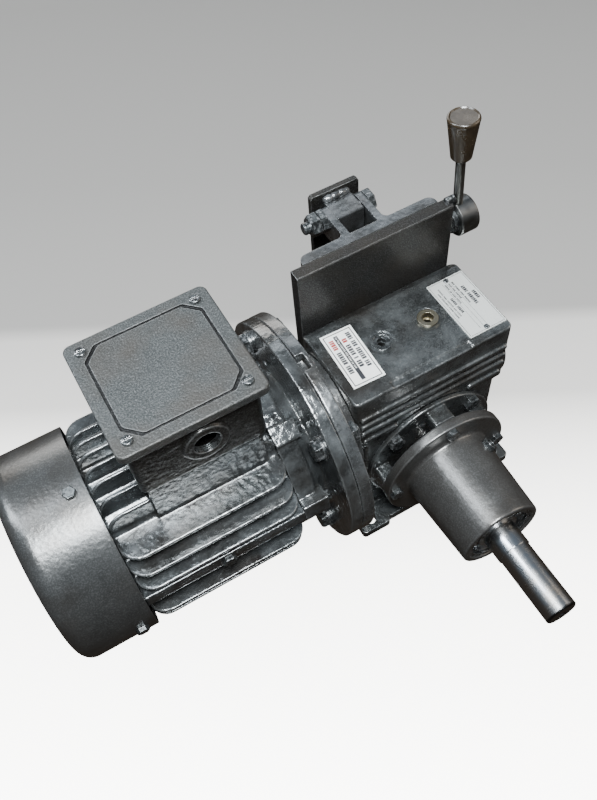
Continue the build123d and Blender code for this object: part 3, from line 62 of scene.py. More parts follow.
# Lights: name, azimuth (0 in front, on -Y), elevation, distance, size, power, colour
LIGHTS = (
    ("key", -20.0, 72.0, 1.5, (0.45, 0.60), 58.0, (0.92, 0.97, 1.0)),
    ("window", -120.0, 52.0, 1.6, (0.40, 1.3), 30.0, (0.86, 0.93, 1.0)),
    ("back_window", 160.0, 40.0, 1.7, (1.2, 0.3), 3.0, (0.88, 0.94, 1.0)),
    ("rear_fill", 175.0, 12.0, 1.7, (1.2, 0.6), 9.0, (1.0, 0.97, 0.93)),
    ("right_fill", 70.0, 30.0, 1.5, (0.8, 0.8), 5.0, (1.0, 0.88, 0.75)),
)

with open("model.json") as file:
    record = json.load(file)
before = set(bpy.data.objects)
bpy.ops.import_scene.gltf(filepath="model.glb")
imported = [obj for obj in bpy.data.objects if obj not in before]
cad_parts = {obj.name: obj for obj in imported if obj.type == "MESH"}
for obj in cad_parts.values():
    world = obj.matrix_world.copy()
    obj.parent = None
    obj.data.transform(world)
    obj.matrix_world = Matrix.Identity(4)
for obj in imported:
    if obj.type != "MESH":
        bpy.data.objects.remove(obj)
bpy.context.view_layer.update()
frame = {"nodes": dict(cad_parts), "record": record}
nodes = frame["nodes"]
scene = bpy.context.scene


# ---------------------------------------------------------------- node helpers

class Nodes:
    """A material's node tree, with short calls for the nodes used here."""

    def __init__(self, name):
        self.material = bpy.data.materials.new(name)
        self.material.use_nodes = True
        self.tree = self.material.node_tree
        self.tree.nodes.clear()
        self.coordinates = self.add("ShaderNodeTexCoord").outputs["Object"]

    def add(self, kind, **values):
        node = self.tree.nodes.new(kind)
        for key, value in values.items():
            setattr(node, key, value)
        return node

    def link(self, source, target):
        if isinstance(source, (int, float)):
            target.default_value = source
        elif isinstance(source, tuple):
            target.default_value = (*source, 1.0) if len(source) == 3 else source
        else:
            self.tree.links.new(source, target)

    def stretch(self, scale):
        """The object's coordinates, scaled by three numbers."""
        mapping = self.add("ShaderNodeMapping")
        self.link(self.coordinates, mapping.inputs["Vector"])
        mapping.inputs["Scale"].default_value = scale
        return mapping.outputs["Vector"]

    def noise(self, size, detail=3.0, roughness=0.5, vector=None, distortion=0.0):
        """Noise with features of about that size in metres."""
        node = self.add("ShaderNodeTexNoise")
        self.link(vector or self.coordinates, node.inputs["Vector"])
        node.inputs["Scale"].default_value = 1.0 / size
        node.inputs["Detail"].default_value = detail
        node.inputs["Roughness"].default_value = roughness
        node.inputs["Distortion"].default_value = distortion
        return node.outputs["Fac"]

    def cells(self, size, vector=None, smooth=0.6):
        """Soft round cells of about that size in metres."""
        node = self.add("ShaderNodeTexVoronoi", feature="SMOOTH_F1")
        self.link(vector or self.coordinates, node.inputs["Vector"])
        node.inputs["Scale"].default_value = 1.0 / size
        node.inputs["Smoothness"].default_value = smooth
        return node.outputs["Distance"]

    def math(self, operation, a, b=0.0, clamp=False):
        node = self.add("ShaderNodeMath", operation=operation, use_clamp=clamp)
        self.link(a, node.inputs[0])
        self.link(b, node.inputs[1])
        return node.outputs[0]

    def ramp(self, value, low, high, start=0.0, end=1.0):
        """value rescaled, so that low becomes start and high becomes end, without running past them."""
        node = self.add("ShaderNodeMapRange")
        self.link(value, node.inputs["Value"])
        node.inputs["From Min"].default_value = low
        node.inputs["From Max"].default_value = high
        node.inputs["To Min"].default_value = start
        node.inputs["To Max"].default_value = end
        return node.outputs["Result"]

    def mix(self, factor, a, b):
        node = self.add("ShaderNodeMix", data_type="RGBA")
        self.link(factor, node.inputs["Factor"])
        self.link(a, node.inputs[6])
        self.link(b, node.inputs[7])
        return node.outputs[2]

    def edges(self, radius, low=0.02, high=0.25):
        """1 near sharp edges and 0 elsewhere, from how far a rounded normal leans."""
        geometry = self.add("ShaderNodeNewGeometry")
        rounded = self.add("ShaderNodeBevel", samples=6)
        rounded.inputs["Radius"].default_value = radius
        product = self.add("ShaderNodeVectorMath", operation="DOT_PRODUCT")
        self.link(geometry.outputs["Normal"], product.inputs[0])
        self.link(rounded.outputs["Normal"], product.inputs[1])
        lean = self.math("SUBTRACT", 1.0, product.outputs["Value"])
        return self.ramp(lean, low, high)

    def ridges(self, low, high):
        """1 on ridges or in creases of a dense mesh: above 0.5 is a ridge and below it a crease."""
        pointiness = self.add("ShaderNodeNewGeometry").outputs["Pointiness"]
        return self.ramp(pointiness, low, high)

    def core(self, name, radius):
        """1 within a radius of the upright line through a node's middle, and 0 further out."""
        low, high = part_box(name)
        middle = (low + high) / 2
        flat = self.add("ShaderNodeVectorMath", operation="MULTIPLY_ADD")
        self.link(self.coordinates, flat.inputs[0])
        flat.inputs[1].default_value = (1, 1, 0)
        flat.inputs[2].default_value = (-middle.x, -middle.y, 0)
        reach = self.add("ShaderNodeVectorMath", operation="LENGTH")
        self.link(flat.outputs["Vector"], reach.inputs[0])
        return self.ramp(reach.outputs["Value"], radius - 0.0004, radius + 0.0004, 1.0, 0.0)

    def sunken(self, name):
        """1 in the grooves of a node's top face, and 0 on the face and round its sides."""
        low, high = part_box(name)
        middle = (low + high) / 2
        half = (high - low) / 2
        split = self.add("ShaderNodeSeparateXYZ")
        self.link(self.coordinates, split.inputs[0])
        reach = []
        for k, axis in enumerate("XY"):
            offset = self.math("ABSOLUTE", self.math("SUBTRACT", split.outputs[axis], middle[k]))
            reach.append(self.ramp(offset, half[k] - 0.006, half[k] - 0.005, 1.0, 0.0))
        inside = self.math("MULTIPLY", *reach)
        below = self.ramp(split.outputs["Z"], high.z - 0.0011, high.z - 0.0003, 1.0, 0.0)
        return self.math("MULTIPLY", inside, below)

    def bump(self, height, depth, strength=1.0, normal=None):
        node = self.add("ShaderNodeBump")
        node.inputs["Strength"].default_value = strength
        node.inputs["Distance"].default_value = depth
        self.link(height, node.inputs["Height"])
        if normal is not None:
            self.link(normal, node.inputs["Normal"])
        return node.outputs["Normal"]

    def round_edges(self, radius):
        node = self.add("ShaderNodeBevel", samples=6)
        node.inputs["Radius"].default_value = radius
        return node.outputs["Normal"]

    def finish(self, colour, roughness, metallic=0.0, normal=None, **sockets):
        shader = self.add("ShaderNodeBsdfPrincipled")
        output = self.add("ShaderNodeOutputMaterial")
        self.link(colour, shader.inputs["Base Color"])
        self.link(roughness, shader.inputs["Roughness"])
        self.link(metallic, shader.inputs["Metallic"])
        if normal is not None:
            self.link(normal, shader.inputs["Normal"])
        for key, value in sockets.items():
            shader.inputs[key.replace("_", " ")].default_value = value
        self.link(shader.outputs["BSDF"], output.inputs["Surface"])
        return self.material


# ---------------------------------------------------------------- materials

def hammer_paint(name, peel=0.0045, depth=0.00022, grain=0.0, light=PAINT_LIGHT, dark=PAINT_DARK,
                 bright_edge_strength=0.55, gloss=0.24, metal=0.7, cast=False, coat=0.6, dirt=0.4, cloud=1.0,
                 coat_rough=0.12, shaded_groove=None):
    """Glossy dark metallic paint: orange peel, mottling, bright edges of partly worn paint and partly painted
    highlight, dirt, and painted shade in the creases.

    A cast part has a dense mesh with round edges, so its bright edges, partly wear and partly painted
    highlight, follow the mesh's own ridges, and its painted shade follows the creases.
    cloud is how uneven the paint is, and the last argument names a node whose sunken lines are painted black:
    painted shade in its grooves.
    """
    n = Nodes(name)
    mottle = n.noise(0.020, detail=5, roughness=0.62)
    flake = n.noise(0.0011, detail=2)
    body = n.mix(n.ramp(mottle, 0.34, 0.68, 0.5 - 0.5 * cloud, 0.5 + 0.5 * cloud), dark, light)
    body = n.mix(n.ramp(flake, 0.45, 0.75, 0.0, 0.25), body, PAINT_WORN_AND_HIGHLIGHT)
    brown = n.ramp(n.noise(0.045, detail=3), 0.45, 0.65, 0.0, 0.6)
    body = n.mix(brown, body, PAINT_BROWN)
    # Bright edges: partly paint worn through, partly a painted highlight; the patches never fall below about a
    # third, so every edge stays bright.
    patches = n.ramp(n.noise(0.006, detail=4), 0.35, 0.6, 0.35, 1.0)
    if cast:
        wear_and_edge_highlight = n.math("MULTIPLY", n.ridges(0.515, 0.56), patches)
        # Painted shade: the creases of a cast part are darkened with the dirt colour.
        body = n.mix(n.ridges(0.485, 0.44), body, DIRT_AND_CREASE_SHADE)
        start = None
    else:
        wear_and_edge_highlight = n.math("MULTIPLY", n.edges(0.0012), patches)
        start = n.round_edges(0.0011)
    body = n.mix(n.math("MULTIPLY", wear_and_edge_highlight, bright_edge_strength), body, PAINT_WORN_AND_HIGHLIGHT)
    dusty = n.ramp(n.noise(0.011, detail=6, roughness=0.7), 0.62, 0.80, 0.0, dirt)
    body = n.mix(dusty, body, DIRT_AND_CREASE_SHADE)
    # Painted shade: the sunken groove lines of the named node are painted near black.
    if shaded_groove:
        body = n.mix(n.sunken(shaded_groove), body, (0.006, 0.006, 0.006))
    height = n.math("ADD", n.cells(peel), n.math("MULTIPLY", n.noise(peel * 0.8, detail=2), 0.9))
    normal = n.bump(height, depth, normal=start)
    if grain > 0:
        normal = n.bump(n.noise(0.0016, detail=6, roughness=0.7), grain, normal=normal)
    roughness = n.ramp(mottle, 0.3, 0.7, gloss - 0.05 * cloud, gloss + 0.12 * cloud)
    return n.finish(body, roughness, metal, normal, Coat_Weight=coat, Coat_Roughness=coat_rough)


def steel(name, colour=STEEL, grain=(60, 60, 60), rough=0.28, stain=0.3, depth=0.00003, radius=0.0005,
          shaded_socket=None):
    """Machined metal, with fine tool marks along the directions that have the small scale.

    The last argument names a plug whose middle is painted near black: painted shade in its hole.
    """
    n = Nodes(name)
    marks = n.noise(1.0, detail=4, roughness=0.6, vector=n.stretch(grain))
    cloud = n.noise(0.012, detail=5, roughness=0.6)
    body = n.mix(n.ramp(cloud, 0.35, 0.7, 0.0, stain), colour, (0.20, 0.19, 0.18))
    body = n.mix(n.ramp(marks, 0.3, 0.7, 0.0, 0.35), body, STEEL_DARK)
    if shaded_socket:
        # Painted shade: the middle of the plug's hole is painted near black.
        body = n.mix(n.core(shaded_socket, 0.0042), body, SOCKET_SHADE)
    normal = n.bump(marks, depth, normal=n.round_edges(radius))
    roughness = n.math("ADD", n.ramp(cloud, 0.3, 0.7, rough - 0.06, rough + 0.1),
                       n.ramp(marks, 0.3, 0.7, -0.03, 0.05))
    return n.finish(body, roughness, 1.0, normal)


def painted_bolt(name, bright=0.55, shaded_socket=None):
    """Zinc plated fasteners with a thin coat of the dark paint, rubbed through on their edges, where the bare
    metal is also a painted highlight.

    The last argument names a plug whose middle is painted near black: painted shade in its hole.
    """
    n = Nodes(name)
    cloud = n.noise(0.004, detail=5, roughness=0.65)
    paint = n.mix(n.ramp(cloud, 0.35, 0.65), PAINT_DARK, PAINT_LIGHT)
    spots = n.ramp(n.noise(0.0025, detail=4), 0.52, 0.66, 0.0, 0.6)
    # Bare steel on rubbed spots and edges; along the edges it is also a painted highlight.
    wear_and_edge_highlight = n.math("ADD", n.edges(0.0007), spots, clamp=True)
    body = n.mix(n.math("MULTIPLY", wear_and_edge_highlight, bright), paint, STEEL)
    if shaded_socket:
        # Painted shade: the middle of the plug's hole is painted near black.
        body = n.mix(n.core(shaded_socket, 0.0036), body, SOCKET_SHADE)
    normal = n.bump(n.noise(0.0022, detail=4), 0.00012, normal=n.round_edges(0.0005))
    return n.finish(body, n.ramp(cloud, 0.3, 0.7, 0.2, 0.38), 0.8, normal,
                    Coat_Weight=0.3, Coat_Roughness=0.15)


def polymer(name, colour, rough=0.35, speck=0.0008, depth=0.00002, coat=0.0, shade=0.5):
    """Moulded plastic or rubber, with a fine grain and slight dirt."""
    n = Nodes(name)
    cloud = n.noise(0.009, detail=5, roughness=0.65)
    body = n.mix(n.ramp(cloud, 0.35, 0.7), colour, tuple(c * shade for c in colour))
    normal = n.bump(n.noise(speck, detail=3), depth, normal=n.round_edges(0.0005))
    roughness = n.ramp(cloud, 0.3, 0.7, rough - 0.05, rough + 0.1)
    return n.finish(body, roughness, 0.0, normal, Coat_Weight=coat, Coat_Roughness=0.08)


def sheet_print(name, colour, metal, rough):
    """A printed label or plate, slightly scuffed and creased."""
    n = Nodes(name)
    cloud = n.noise(0.010, detail=6, roughness=0.7)
    body = n.mix(n.ramp(cloud, 0.5, 0.75, 0.0, 0.35), colour, tuple(c * 0.72 for c in colour))
    scratch = n.noise(1.0, detail=3, vector=n.stretch((250, 1800, 400)))
    body = n.mix(n.ramp(scratch, 0.66, 0.78, 0.0, 0.25), body, (0.45, 0.45, 0.44))
    normal = n.bump(n.noise(0.008, detail=3), 0.00015)
    return n.finish(body, n.ramp(cloud, 0.3, 0.7, rough, rough + 0.15), metal, normal)


def windings():
    n = Nodes("varnished_copper")
    wires = n.noise(1.0, detail=2, vector=n.stretch((700, 160, 160)))
    body = n.mix(n.ramp(wires, 0.35, 0.65), (0.32, 0.11, 0.035), (0.55, 0.24, 0.08))
    return n.finish(body, 0.3, 0.4, n.bump(wires, 0.0003), Coat_Weight=0.5, Coat_Roughness=0.1)


def shaft_finish():
    """Ground shaft: fine turned rings, straw and blue tints, and paint left round the tip."""
    n = Nodes("ground_shaft")
    rings = n.noise(1.0, detail=5, roughness=0.7, vector=n.stretch((30, 2600, 30)))
    cloud = n.noise(0.014, detail=5, roughness=0.6)
    body = n.mix(n.ramp(cloud, 0.35, 0.68), (0.60, 0.64, 0.68), (0.46, 0.42, 0.37))
    body = n.mix(n.ramp(rings, 0.35, 0.65, 0.0, 0.30), body, (0.25, 0.26, 0.27))
    separate = n.add("ShaderNodeSeparateXYZ")
    n.link(n.coordinates, separate.inputs[0])
    tip_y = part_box("output_shaft")[0].y
    ragged = n.math("ADD", separate.outputs["Y"], n.ramp(n.noise(0.004), 0.3, 0.7, -0.0006, 0.0006))
    smear = n.ramp(ragged, tip_y + 0.0016, tip_y + 0.0024, 1.0, 0.0)
    body = n.mix(n.math("MULTIPLY", smear, 0.85), body, PAINT_DARK)
    roughness = n.math("ADD", n.ramp(cloud, 0.3, 0.7, 0.16, 0.28), n.ramp(rings, 0.3, 0.7, -0.03, 0.05))
    normal = n.bump(rings, 0.00002, normal=n.round_edges(0.0004))
    return n.finish(body, roughness, 1.0, normal)


MATERIALS = {
    "cowl": hammer_paint("cowl_paint", peel=0.0030, depth=0.00012, gloss=0.30, bright_edge_strength=0.5,
                         light=(0.12, 0.122, 0.121), dirt=0.0, cloud=0.25, coat=0.5, coat_rough=0.24),
    "frame": hammer_paint("frame_paint", peel=0.0042, depth=0.00034, gloss=0.20, bright_edge_strength=0.9, cast=True,
                          light=(0.15, 0.165, 0.172)),
    "shield": hammer_paint("shield_paint", peel=0.0048, depth=0.00040, gloss=0.16, bright_edge_strength=0.9, cast=True,
                           light=(0.20, 0.215, 0.22)),
    "box": hammer_paint("box_paint", peel=0.0034, depth=0.00022, gloss=0.30, bright_edge_strength=0.9, cast=True,
                        light=(0.045, 0.044, 0.041), dark=(0.018, 0.017, 0.015), cloud=0.6, coat=0.25),
    "lid": hammer_paint("lid_paint", peel=0.0017, depth=0.00032, gloss=0.46, bright_edge_strength=0.8, metal=0.3, coat=0.10,
                        light=(0.042, 0.046, 0.046), dark=(0.027, 0.030, 0.030), dirt=0.0, cloud=0.4,
                        shaded_groove="terminal_box_lid"),
    "flange": hammer_paint("flange_paint", peel=0.0050, depth=0.00025, gloss=0.24, bright_edge_strength=0.7, cast=True,
                           light=(0.17, 0.18, 0.185), dark=(0.040, 0.042, 0.042)),
    "housing": hammer_paint("housing_paint", peel=0.0036, depth=0.00028, grain=0.00010, gloss=0.24, bright_edge_strength=0.9,
                            cast=True),
    "barrel": hammer_paint("barrel_paint", peel=0.0055, depth=0.00012, gloss=0.30, bright_edge_strength=0.6, cast=True,
                           light=(0.12, 0.119, 0.115), dark=(0.060, 0.056, 0.052), dirt=0.0, cloud=0.3,
                           coat=0.4, coat_rough=0.24),
    "plate": hammer_paint("plate_paint", peel=0.0060, depth=0.00012, gloss=0.42, bright_edge_strength=1.0,
                          light=(0.024, 0.022, 0.020), dark=(0.013, 0.012, 0.011), cloud=0.3, coat=0.06),
    "bracket": hammer_paint("bracket_paint", peel=0.0040, depth=0.00018, gloss=0.20, bright_edge_strength=1.0,
                            light=(0.18, 0.19, 0.20)),
    "weld": hammer_paint("weld_paint", peel=0.0020, depth=0.00030, gloss=0.18, bright_edge_strength=0.9,
                         light=(0.30, 0.31, 0.32)),
    "dark_bolt": painted_bolt("painted_dark", bright=0.2),
    "plug": painted_bolt("painted_plug", bright=0.25, shaded_socket="filler_plug"),
    "bolt": painted_bolt("painted_zinc"),
    "bright_bolt": painted_bolt("bright_zinc", bright=0.85),
    "shaft": shaft_finish(),
    "machined": steel("machined_steel", grain=(1500, 60, 60)),
    "boss_steel": steel("boss_steel", colour=(0.17, 0.172, 0.168), grain=(90, 90, 90), rough=0.32, stain=0.5),
    "rod_steel": steel("rod_steel", colour=(0.30, 0.305, 0.285), grain=(90, 90, 40), rough=0.30, stain=0.6),
    "core": steel("core_plates", colour=(0.30, 0.31, 0.33), grain=(2600, 30, 30), rough=0.45, depth=0.0001),
    "cast_iron": steel("cast_iron", colour=(0.20, 0.20, 0.20), grain=(500, 500, 500), rough=0.5, depth=0.0001),
    "bronze": steel("wheel_bronze", colour=BRONZE, grain=(60, 900, 60), rough=0.3, stain=0.2),
    "brass": steel("plug_brass", colour=BRASS, grain=(400, 400, 60), rough=0.33, stain=0.7,
                   shaded_socket="breather_plug"),
    "rubber": polymer("black_rubber", (0.022, 0.022, 0.022), rough=0.5),
    "fan": polymer("fan_plastic", (0.035, 0.035, 0.036), rough=0.42),
    "knob": polymer("knob_phenolic", (0.034, 0.024, 0.014), rough=0.28, speck=0.004, depth=0.00006, coat=0.4),
    "copper": windings(),
    "nameplate": sheet_print("printed_aluminium", (0.62, 0.63, 0.60), 0.35, 0.32),
    "paper": sheet_print("label_paper", PAPER, 0.0, 0.42),
    "ink": polymer("printing_ink", INK, rough=0.4),
    "red_ink": polymer("red_printing_ink", (0.42, 0.030, 0.025), rough=0.4),
}

NODE_MATERIAL = {
    "cowl": ("fan_cowl",),
    "frame": ("motor_frame", "rear_end_shield"),
    "shield": ("drive_end_shield",),
    "box": ("terminal_box_base",),
    "lid": ("terminal_box_lid",),
    "flange": ("input_flange",),
    "housing": ("gear_housing", "output_lantern", "rear_cover", "worm_end_cover"),
    "barrel": ("extension_barrel",),
    "plate": ("mounting_plate", "wall_plate"),
    "bracket": ("clevis_bracket", "hinge_block"),
    "weld": ("hinge_weld",),
    "dark_bolt": ("lever_washer", "cowl_screws"),
    "plug": ("filler_plug",),
    "bolt": ("shield_tie_bolts", "earth_screw", "input_flange_screws", "cover_screws", "barrel_bolts",
             "barrel_plug"),
    "bright_bolt": ("lid_screws", "flange_bolts", "lantern_bolts", "plate_bolts", "clevis_bolts",
                    "pivot_bolt", "pivot_nuts", "retaining_ring", "nameplate_rivets", "index_pin",
                    "lever_stud"),
    "shaft": ("output_shaft",),
    "machined": ("motor_shaft", "worm_shaft", "motor_key", "wheel_key", "worm_bearings", "output_bearings",
                 "motor_bearings"),
    "boss_steel": ("lever_boss",),
    "rod_steel": ("lever_rod",),
    "core": ("stator_core", "rotor_core"),
    "cast_iron": ("wheel_hub",),
    "bronze": ("worm_wheel_rim",),
    "brass": ("breather_plug",),
    "rubber": ("shaft_seals", "lid_gasket"),
    "fan": ("cooling_fan", "terminal_block"),
    "knob": ("lever_knob",),
    "copper": ("stator_windings",),
    "nameplate": ("nameplate",),
    "paper": ("oil_label",),
}


def paint_nodes():
    """Each CAD node gets its finish."""
    for key, names in NODE_MATERIAL.items():
        for name in names:
            mesh = nodes[name].data
            mesh.materials.clear()
            mesh.materials.append(MATERIALS[key])


# Castings get a dense skin with soft edges: node, voxel size, share of the faces kept, unevenness
CAST_SKINS = (
    ("motor_frame", 0.9, 0.36, 0.25),
    ("rear_end_shield", 1.0, 0.30, 0.10),
    ("drive_end_shield", 0.9, 0.50, 0.45),
    ("input_flange", 0.8, 0.50, 0.20),
    ("gear_housing", 0.9, 0.45, 0.25),
    ("terminal_box_base", 0.8, 0.50, 0.15),
    ("output_lantern", 0.7, 0.60, 0.12),
    ("extension_barrel", 0.8, 0.60, 0.06),
    ("rear_cover", 0.9, 0.50, 0.12),
    ("worm_end_cover", 0.8, 0.50, 0.12),
    ("hinge_weld", 0.45, 0.90, 0.15),
)


def cast_skins():
    """Rounds the castings' edges and makes their surfaces slightly uneven, inwards only."""
    for name, voxel, keep, uneven in CAST_SKINS:
        node = nodes[name]
        skin = node.modifiers.new("skin", "REMESH")
        skin.mode = "VOXEL"
        skin.voxel_size = voxel * MM
        skin.use_smooth_shade = True
        soften = node.modifiers.new("soften", "SMOOTH")
        soften.factor = 0.5
        soften.iterations = 4
        clouds = bpy.data.textures.new(name + "_clouds", "CLOUDS")
        clouds.noise_scale = 9 * MM
        clouds.noise_depth = 2
        waves = node.modifiers.new("uneven", "DISPLACE")
        waves.texture = clouds
        waves.texture_coords = "LOCAL"
        waves.strength = uneven * MM
        waves.mid_level = 1.0
        thin = node.modifiers.new("thin", "DECIMATE")
        thin.ratio = keep


# ---------------------------------------------------------------- pieces

def finish_piece(name, mesh, material, body):
    """An object made from a finished bmesh, which rides on a CAD body."""
    data = bpy.data.meshes.new(name)
    mesh.to_mesh(data)
    mesh.free()
    data.materials.append(MATERIALS[material])
    piece = bpy.data.objects.new(name, data)
    scene.collection.objects.link(piece)
    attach(piece, body)
    return piece


def add_bar(mesh, centre, size, turn=0.0):
    """A flat bar lying on the XY plane, added to a bmesh."""
    matrix = Matrix.Translation(centre) @ Matrix.Rotation(turn, 4, "Z") @ Matrix.Diagonal((*size, 1.0))
    bmesh.ops.create_cube(mesh, size=1.0, matrix=matrix)


def add_words(mesh, place, row_x, start_y, words, height, glyph=1.15, gap=0.45):
    """A line of plain blocks in word-like groups, which runs along Y: no letters."""
    y = start_y
    for count in words:
        for k in range(count):
            width = glyph * (0.8 + 0.35 * ((k * 7 + count * 3) % 3) / 2)
            place(mesh, row_x, y - width / 2, height, width)
            y -= width + gap
        y -= glyph


def make_label_print():
    """Printed border, block lines and a dark band on the paper label."""
    low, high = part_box("oil_label")
    middle = (low + high) / 2
    turn = Matrix.Rotation(math.radians(-2), 3, "Z")

    def place(mesh, x, y, width, height, lift=0.04):
        shift = turn @ Vector((x * MM, y * MM, 0))
        centre = (middle.x + shift.x, middle.y + shift.y, high.z + lift * MM)
        add_bar(mesh, centre, (width * MM, height * MM, 0.08 * MM), math.radians(-2))

    black = bmesh.new()
    half_x, half_y, line = 12.0, 26.6, 0.8
    for side in (-1, 1):
        place(black, side * half_x, 0, line, 2 * half_y + line)
        place(black, 0, side * half_y, 2 * half_x + line, line)
    add_words(black, place, 7.9, 23.0, (4, 3, 6, 3), 4.0, 1.65, 0.5)
    add_words(black, place, 2.4, 11.5, (5, 1, 3), 4.0, 1.9, 0.55)
    place(black, -2.6, 0, 3.6, 48.0)
    add_words(black, place, -7.8, 8.0, (6, 4), 4.0, 1.75, 0.5)
    finish_piece("label_print", black, "ink", "gear_unit")
    red = bmesh.new()
    add_words(red, place, 2.4, 18.5, (2,), 4.0, 1.9, 0.55)
    add_words(red, place, -7.8, 21.5, (5,), 4.0, 1.75, 0.5)
    finish_piece("label_red_print", red, "red_ink", "gear_unit")
    white = bmesh.new()

    def place_over(mesh, x, y, width, height):
        place(mesh, x, y, width, height, 0.09)

    add_words(white, place_over, -2.6, 22.5, (2, 3, 6, 3, 4, 2, 3), 1.4, 0.6, 0.8)
    finish_piece("label_reversed_print", white, "paper", "gear_unit")


def make_nameplate_print():
    """Heading blocks, table lines and small print on the nameplate."""
    low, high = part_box("nameplate")
    middle = (low + high) / 2
    mesh = bmesh.new()

    def place(mesh, x, y, width, height):
        centre = (middle.x + x * MM, middle.y + y * MM, high.z + 0.03 * MM)
        add_bar(mesh, centre, (width * MM, height * MM, 0.07 * MM))

    add_words(mesh, place, 13.0, 8.5, (5,), 3.0, 1.5)
    add_words(mesh, place, 8.2, 17.0, (4, 7), 3.0, 1.5)
    for row, words in enumerate(((3, 5, 4, 6), (4, 3, 6), (5, 2, 4, 5))):
        add_words(mesh, place, 3.6 - 3.4 * row, 25.0, words, 1.5, 0.9)
        place(mesh, 1.9 - 3.4 * row, 0, 0.18, 54)
    add_words(mesh, place, -7.2, 10.5, (5, 5), 2.4, 1.25)
    add_words(mesh, place, -10.9, 24.0, (6, 4, 7, 3, 5), 1.2, 0.8)
    add_words(mesh, place, -13.6, 20.0, (4, 8, 5, 6), 1.2, 0.8)
    for side in (-1, 1):
        place(mesh, side * 16.4, 0, 0.3, 60.5)
        place(mesh, 0, side * 30.2, 33.0, 0.3)
    finish_piece("nameplate_print", mesh, "ink", "gear_unit")


def add_ring(mesh, matrix, radius, tube, around=48, across=10, start=0.0, sweep=2 * math.pi, rise=0.0):
    """A round bar bent into a ring or a part of a helix, with its ends closed."""
    closed = abs(sweep - 2 * math.pi) < 1e-6 and abs(rise) < 1e-9
    rings = []
    for i in range(around if closed else around + 1):
        share = i / around
        angle = start + sweep * share
        loop = []
        for j in range(across):
            turn = 2 * math.pi * j / across
            r = radius + tube * math.cos(turn)
            point = Vector((r * math.cos(angle), r * math.sin(angle), rise * share + tube * math.sin(turn)))
            loop.append(mesh.verts.new(matrix @ point))
        rings.append(loop)
    pairs = list(zip(rings, rings[1:]))
    if closed:
        pairs.append((rings[-1], rings[0]))
    else:
        mesh.faces.new(list(reversed(rings[0])))
        mesh.faces.new(rings[-1])
    for a, b in pairs:
        for j in range(across):
            mesh.faces.new((a[j], b[j], b[(j + 1) % across], a[(j + 1) % across]))


def smooth(piece):
    for face in piece.data.polygons:
        face.use_smooth = True
    return piece


def make_entry_thread():
    """Thread ridges inside the cable entry, set just inside the hole's wall."""
    low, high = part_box("terminal_box_base")
    entry = Vector(next(m for m in frame["record"]["mounts"] if m["name"] == "cable_entry")["pos_m"])
    centre = Vector((entry.x, low.y, entry.z))
    facing = Matrix.Translation(centre + Vector((0, 0.0008, 0))) @ Matrix.Rotation(math.radians(-90), 4, "X")
    mesh = bmesh.new()
    turns = 4
    hole_radius = 10.0 * MM
    ridge = 0.55 * MM
    depth = 6.0 * MM
    add_ring(mesh, facing, hole_radius, ridge, around=48 * turns, across=8,
             sweep=2 * math.pi * turns, rise=depth)
    smooth(finish_piece("entry_thread", mesh, "dark_bolt", "gear_unit"))


# ---------------------------------------------------------------- stage

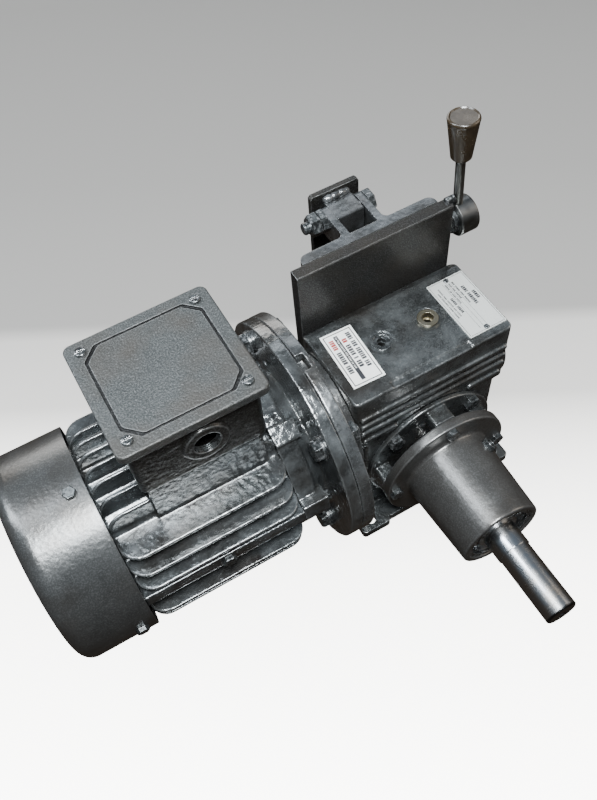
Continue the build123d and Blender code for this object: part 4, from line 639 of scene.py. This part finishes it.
def make_stage():
    """A glowing floor that darkens away from the viewer, a dim room, soft lights and the camera."""
    n = Nodes("floor")
    along = n.add("ShaderNodeVectorMath", operation="DOT_PRODUCT")
    n.link(n.coordinates, along.inputs[0])
    along.inputs[1].default_value = FLOOR_FADE
    tones = n.add("ShaderNodeValToRGB")
    start, end = FLOOR_TONES[0][0], FLOOR_TONES[-1][0]
    n.link(n.ramp(along.outputs["Value"], start, end), tones.inputs["Fac"])
    stops = tones.color_ramp.elements
    for k, (reach, tone) in enumerate(FLOOR_TONES):
        position = (reach - start) / (end - start)
        stop = stops.new(position) if 0 < k < len(FLOOR_TONES) - 1 else stops[0 if k == 0 else -1]
        stop.position, stop.color = position, (tone, tone * 0.997, tone * 0.965, 1)
    floor_paint = n.finish((0.06, 0.06, 0.06), 0.9, Emission_Strength=FLOOR_GLOW)
    n.link(tones.outputs["Color"], n.tree.nodes["Principled BSDF"].inputs["Emission Color"])
    bpy.ops.mesh.primitive_plane_add(size=14.0, location=(0, 0, -0.0005))
    floor = bpy.context.object
    floor.name = "floor"
    floor.data.materials.append(floor_paint)
    floor.visible_glossy = False
    floor.visible_diffuse = False

    world = bpy.data.worlds.new("studio")
    scene.world = world
    world.use_nodes = True
    tree = world.node_tree
    background = tree.nodes["Background"]
    place = tree.nodes.new("ShaderNodeTexCoord")
    split = tree.nodes.new("ShaderNodeSeparateXYZ")
    blend = tree.nodes.new("ShaderNodeValToRGB")
    tree.links.new(place.outputs["Generated"], split.inputs[0])
    rescale = tree.nodes.new("ShaderNodeMapRange")
    rescale.inputs["From Min"].default_value = -1.0
    tree.links.new(split.outputs["Z"], rescale.inputs["Value"])
    tree.links.new(rescale.outputs["Result"], blend.inputs["Fac"])
    tree.links.new(blend.outputs["Color"], background.inputs["Color"])
    steps = blend.color_ramp.elements
    steps[0].position, steps[0].color = 0.0, (0.050, 0.040, 0.032, 1)
    steps[1].position, steps[1].color = 1.0, (0.20, 0.24, 0.29, 1)
    for position, colour in ((0.50, (0.060, 0.050, 0.042, 1)), (0.62, (0.10, 0.11, 0.12, 1))):
        steps.new(position).color = colour
    background.inputs["Strength"].default_value = 0.9

    target = Vector((-0.08, 0.0, 0.13))
    for name, azimuth, elevation, distance, size, power, colour in LIGHTS:
        data = bpy.data.lights.new(name, "AREA")
        data.shape = "RECTANGLE"
        data.size, data.size_y = size
        data.energy = power
        data.color = colour
        lamp = bpy.data.objects.new(name, data)
        flat = math.cos(math.radians(elevation))
        way = Vector((flat * math.sin(math.radians(azimuth)), -flat * math.cos(math.radians(azimuth)),
                      math.sin(math.radians(elevation))))
        lamp.location = target + way * distance
        lamp.rotation_euler = (-way).to_track_quat("-Z", "Y").to_euler()
        scene.collection.objects.link(lamp)

    camera_data = bpy.data.cameras.new("camera")
    camera_data.lens = CAMERA_LENS
    camera_data.sensor_width = 36.0
    camera_data.sensor_fit = "AUTO"
    camera_data.clip_start = 0.01
    camera = bpy.data.objects.new("camera", camera_data)
    camera.location = CAMERA_PLACE
    camera.rotation_euler = [math.radians(a) for a in CAMERA_TURN]
    scene.collection.objects.link(camera)
    scene.camera = camera


paint_nodes()
cast_skins()
make_label_print()
make_nameplate_print()
make_entry_thread()
make_stage()

bpy.context.view_layer.update()
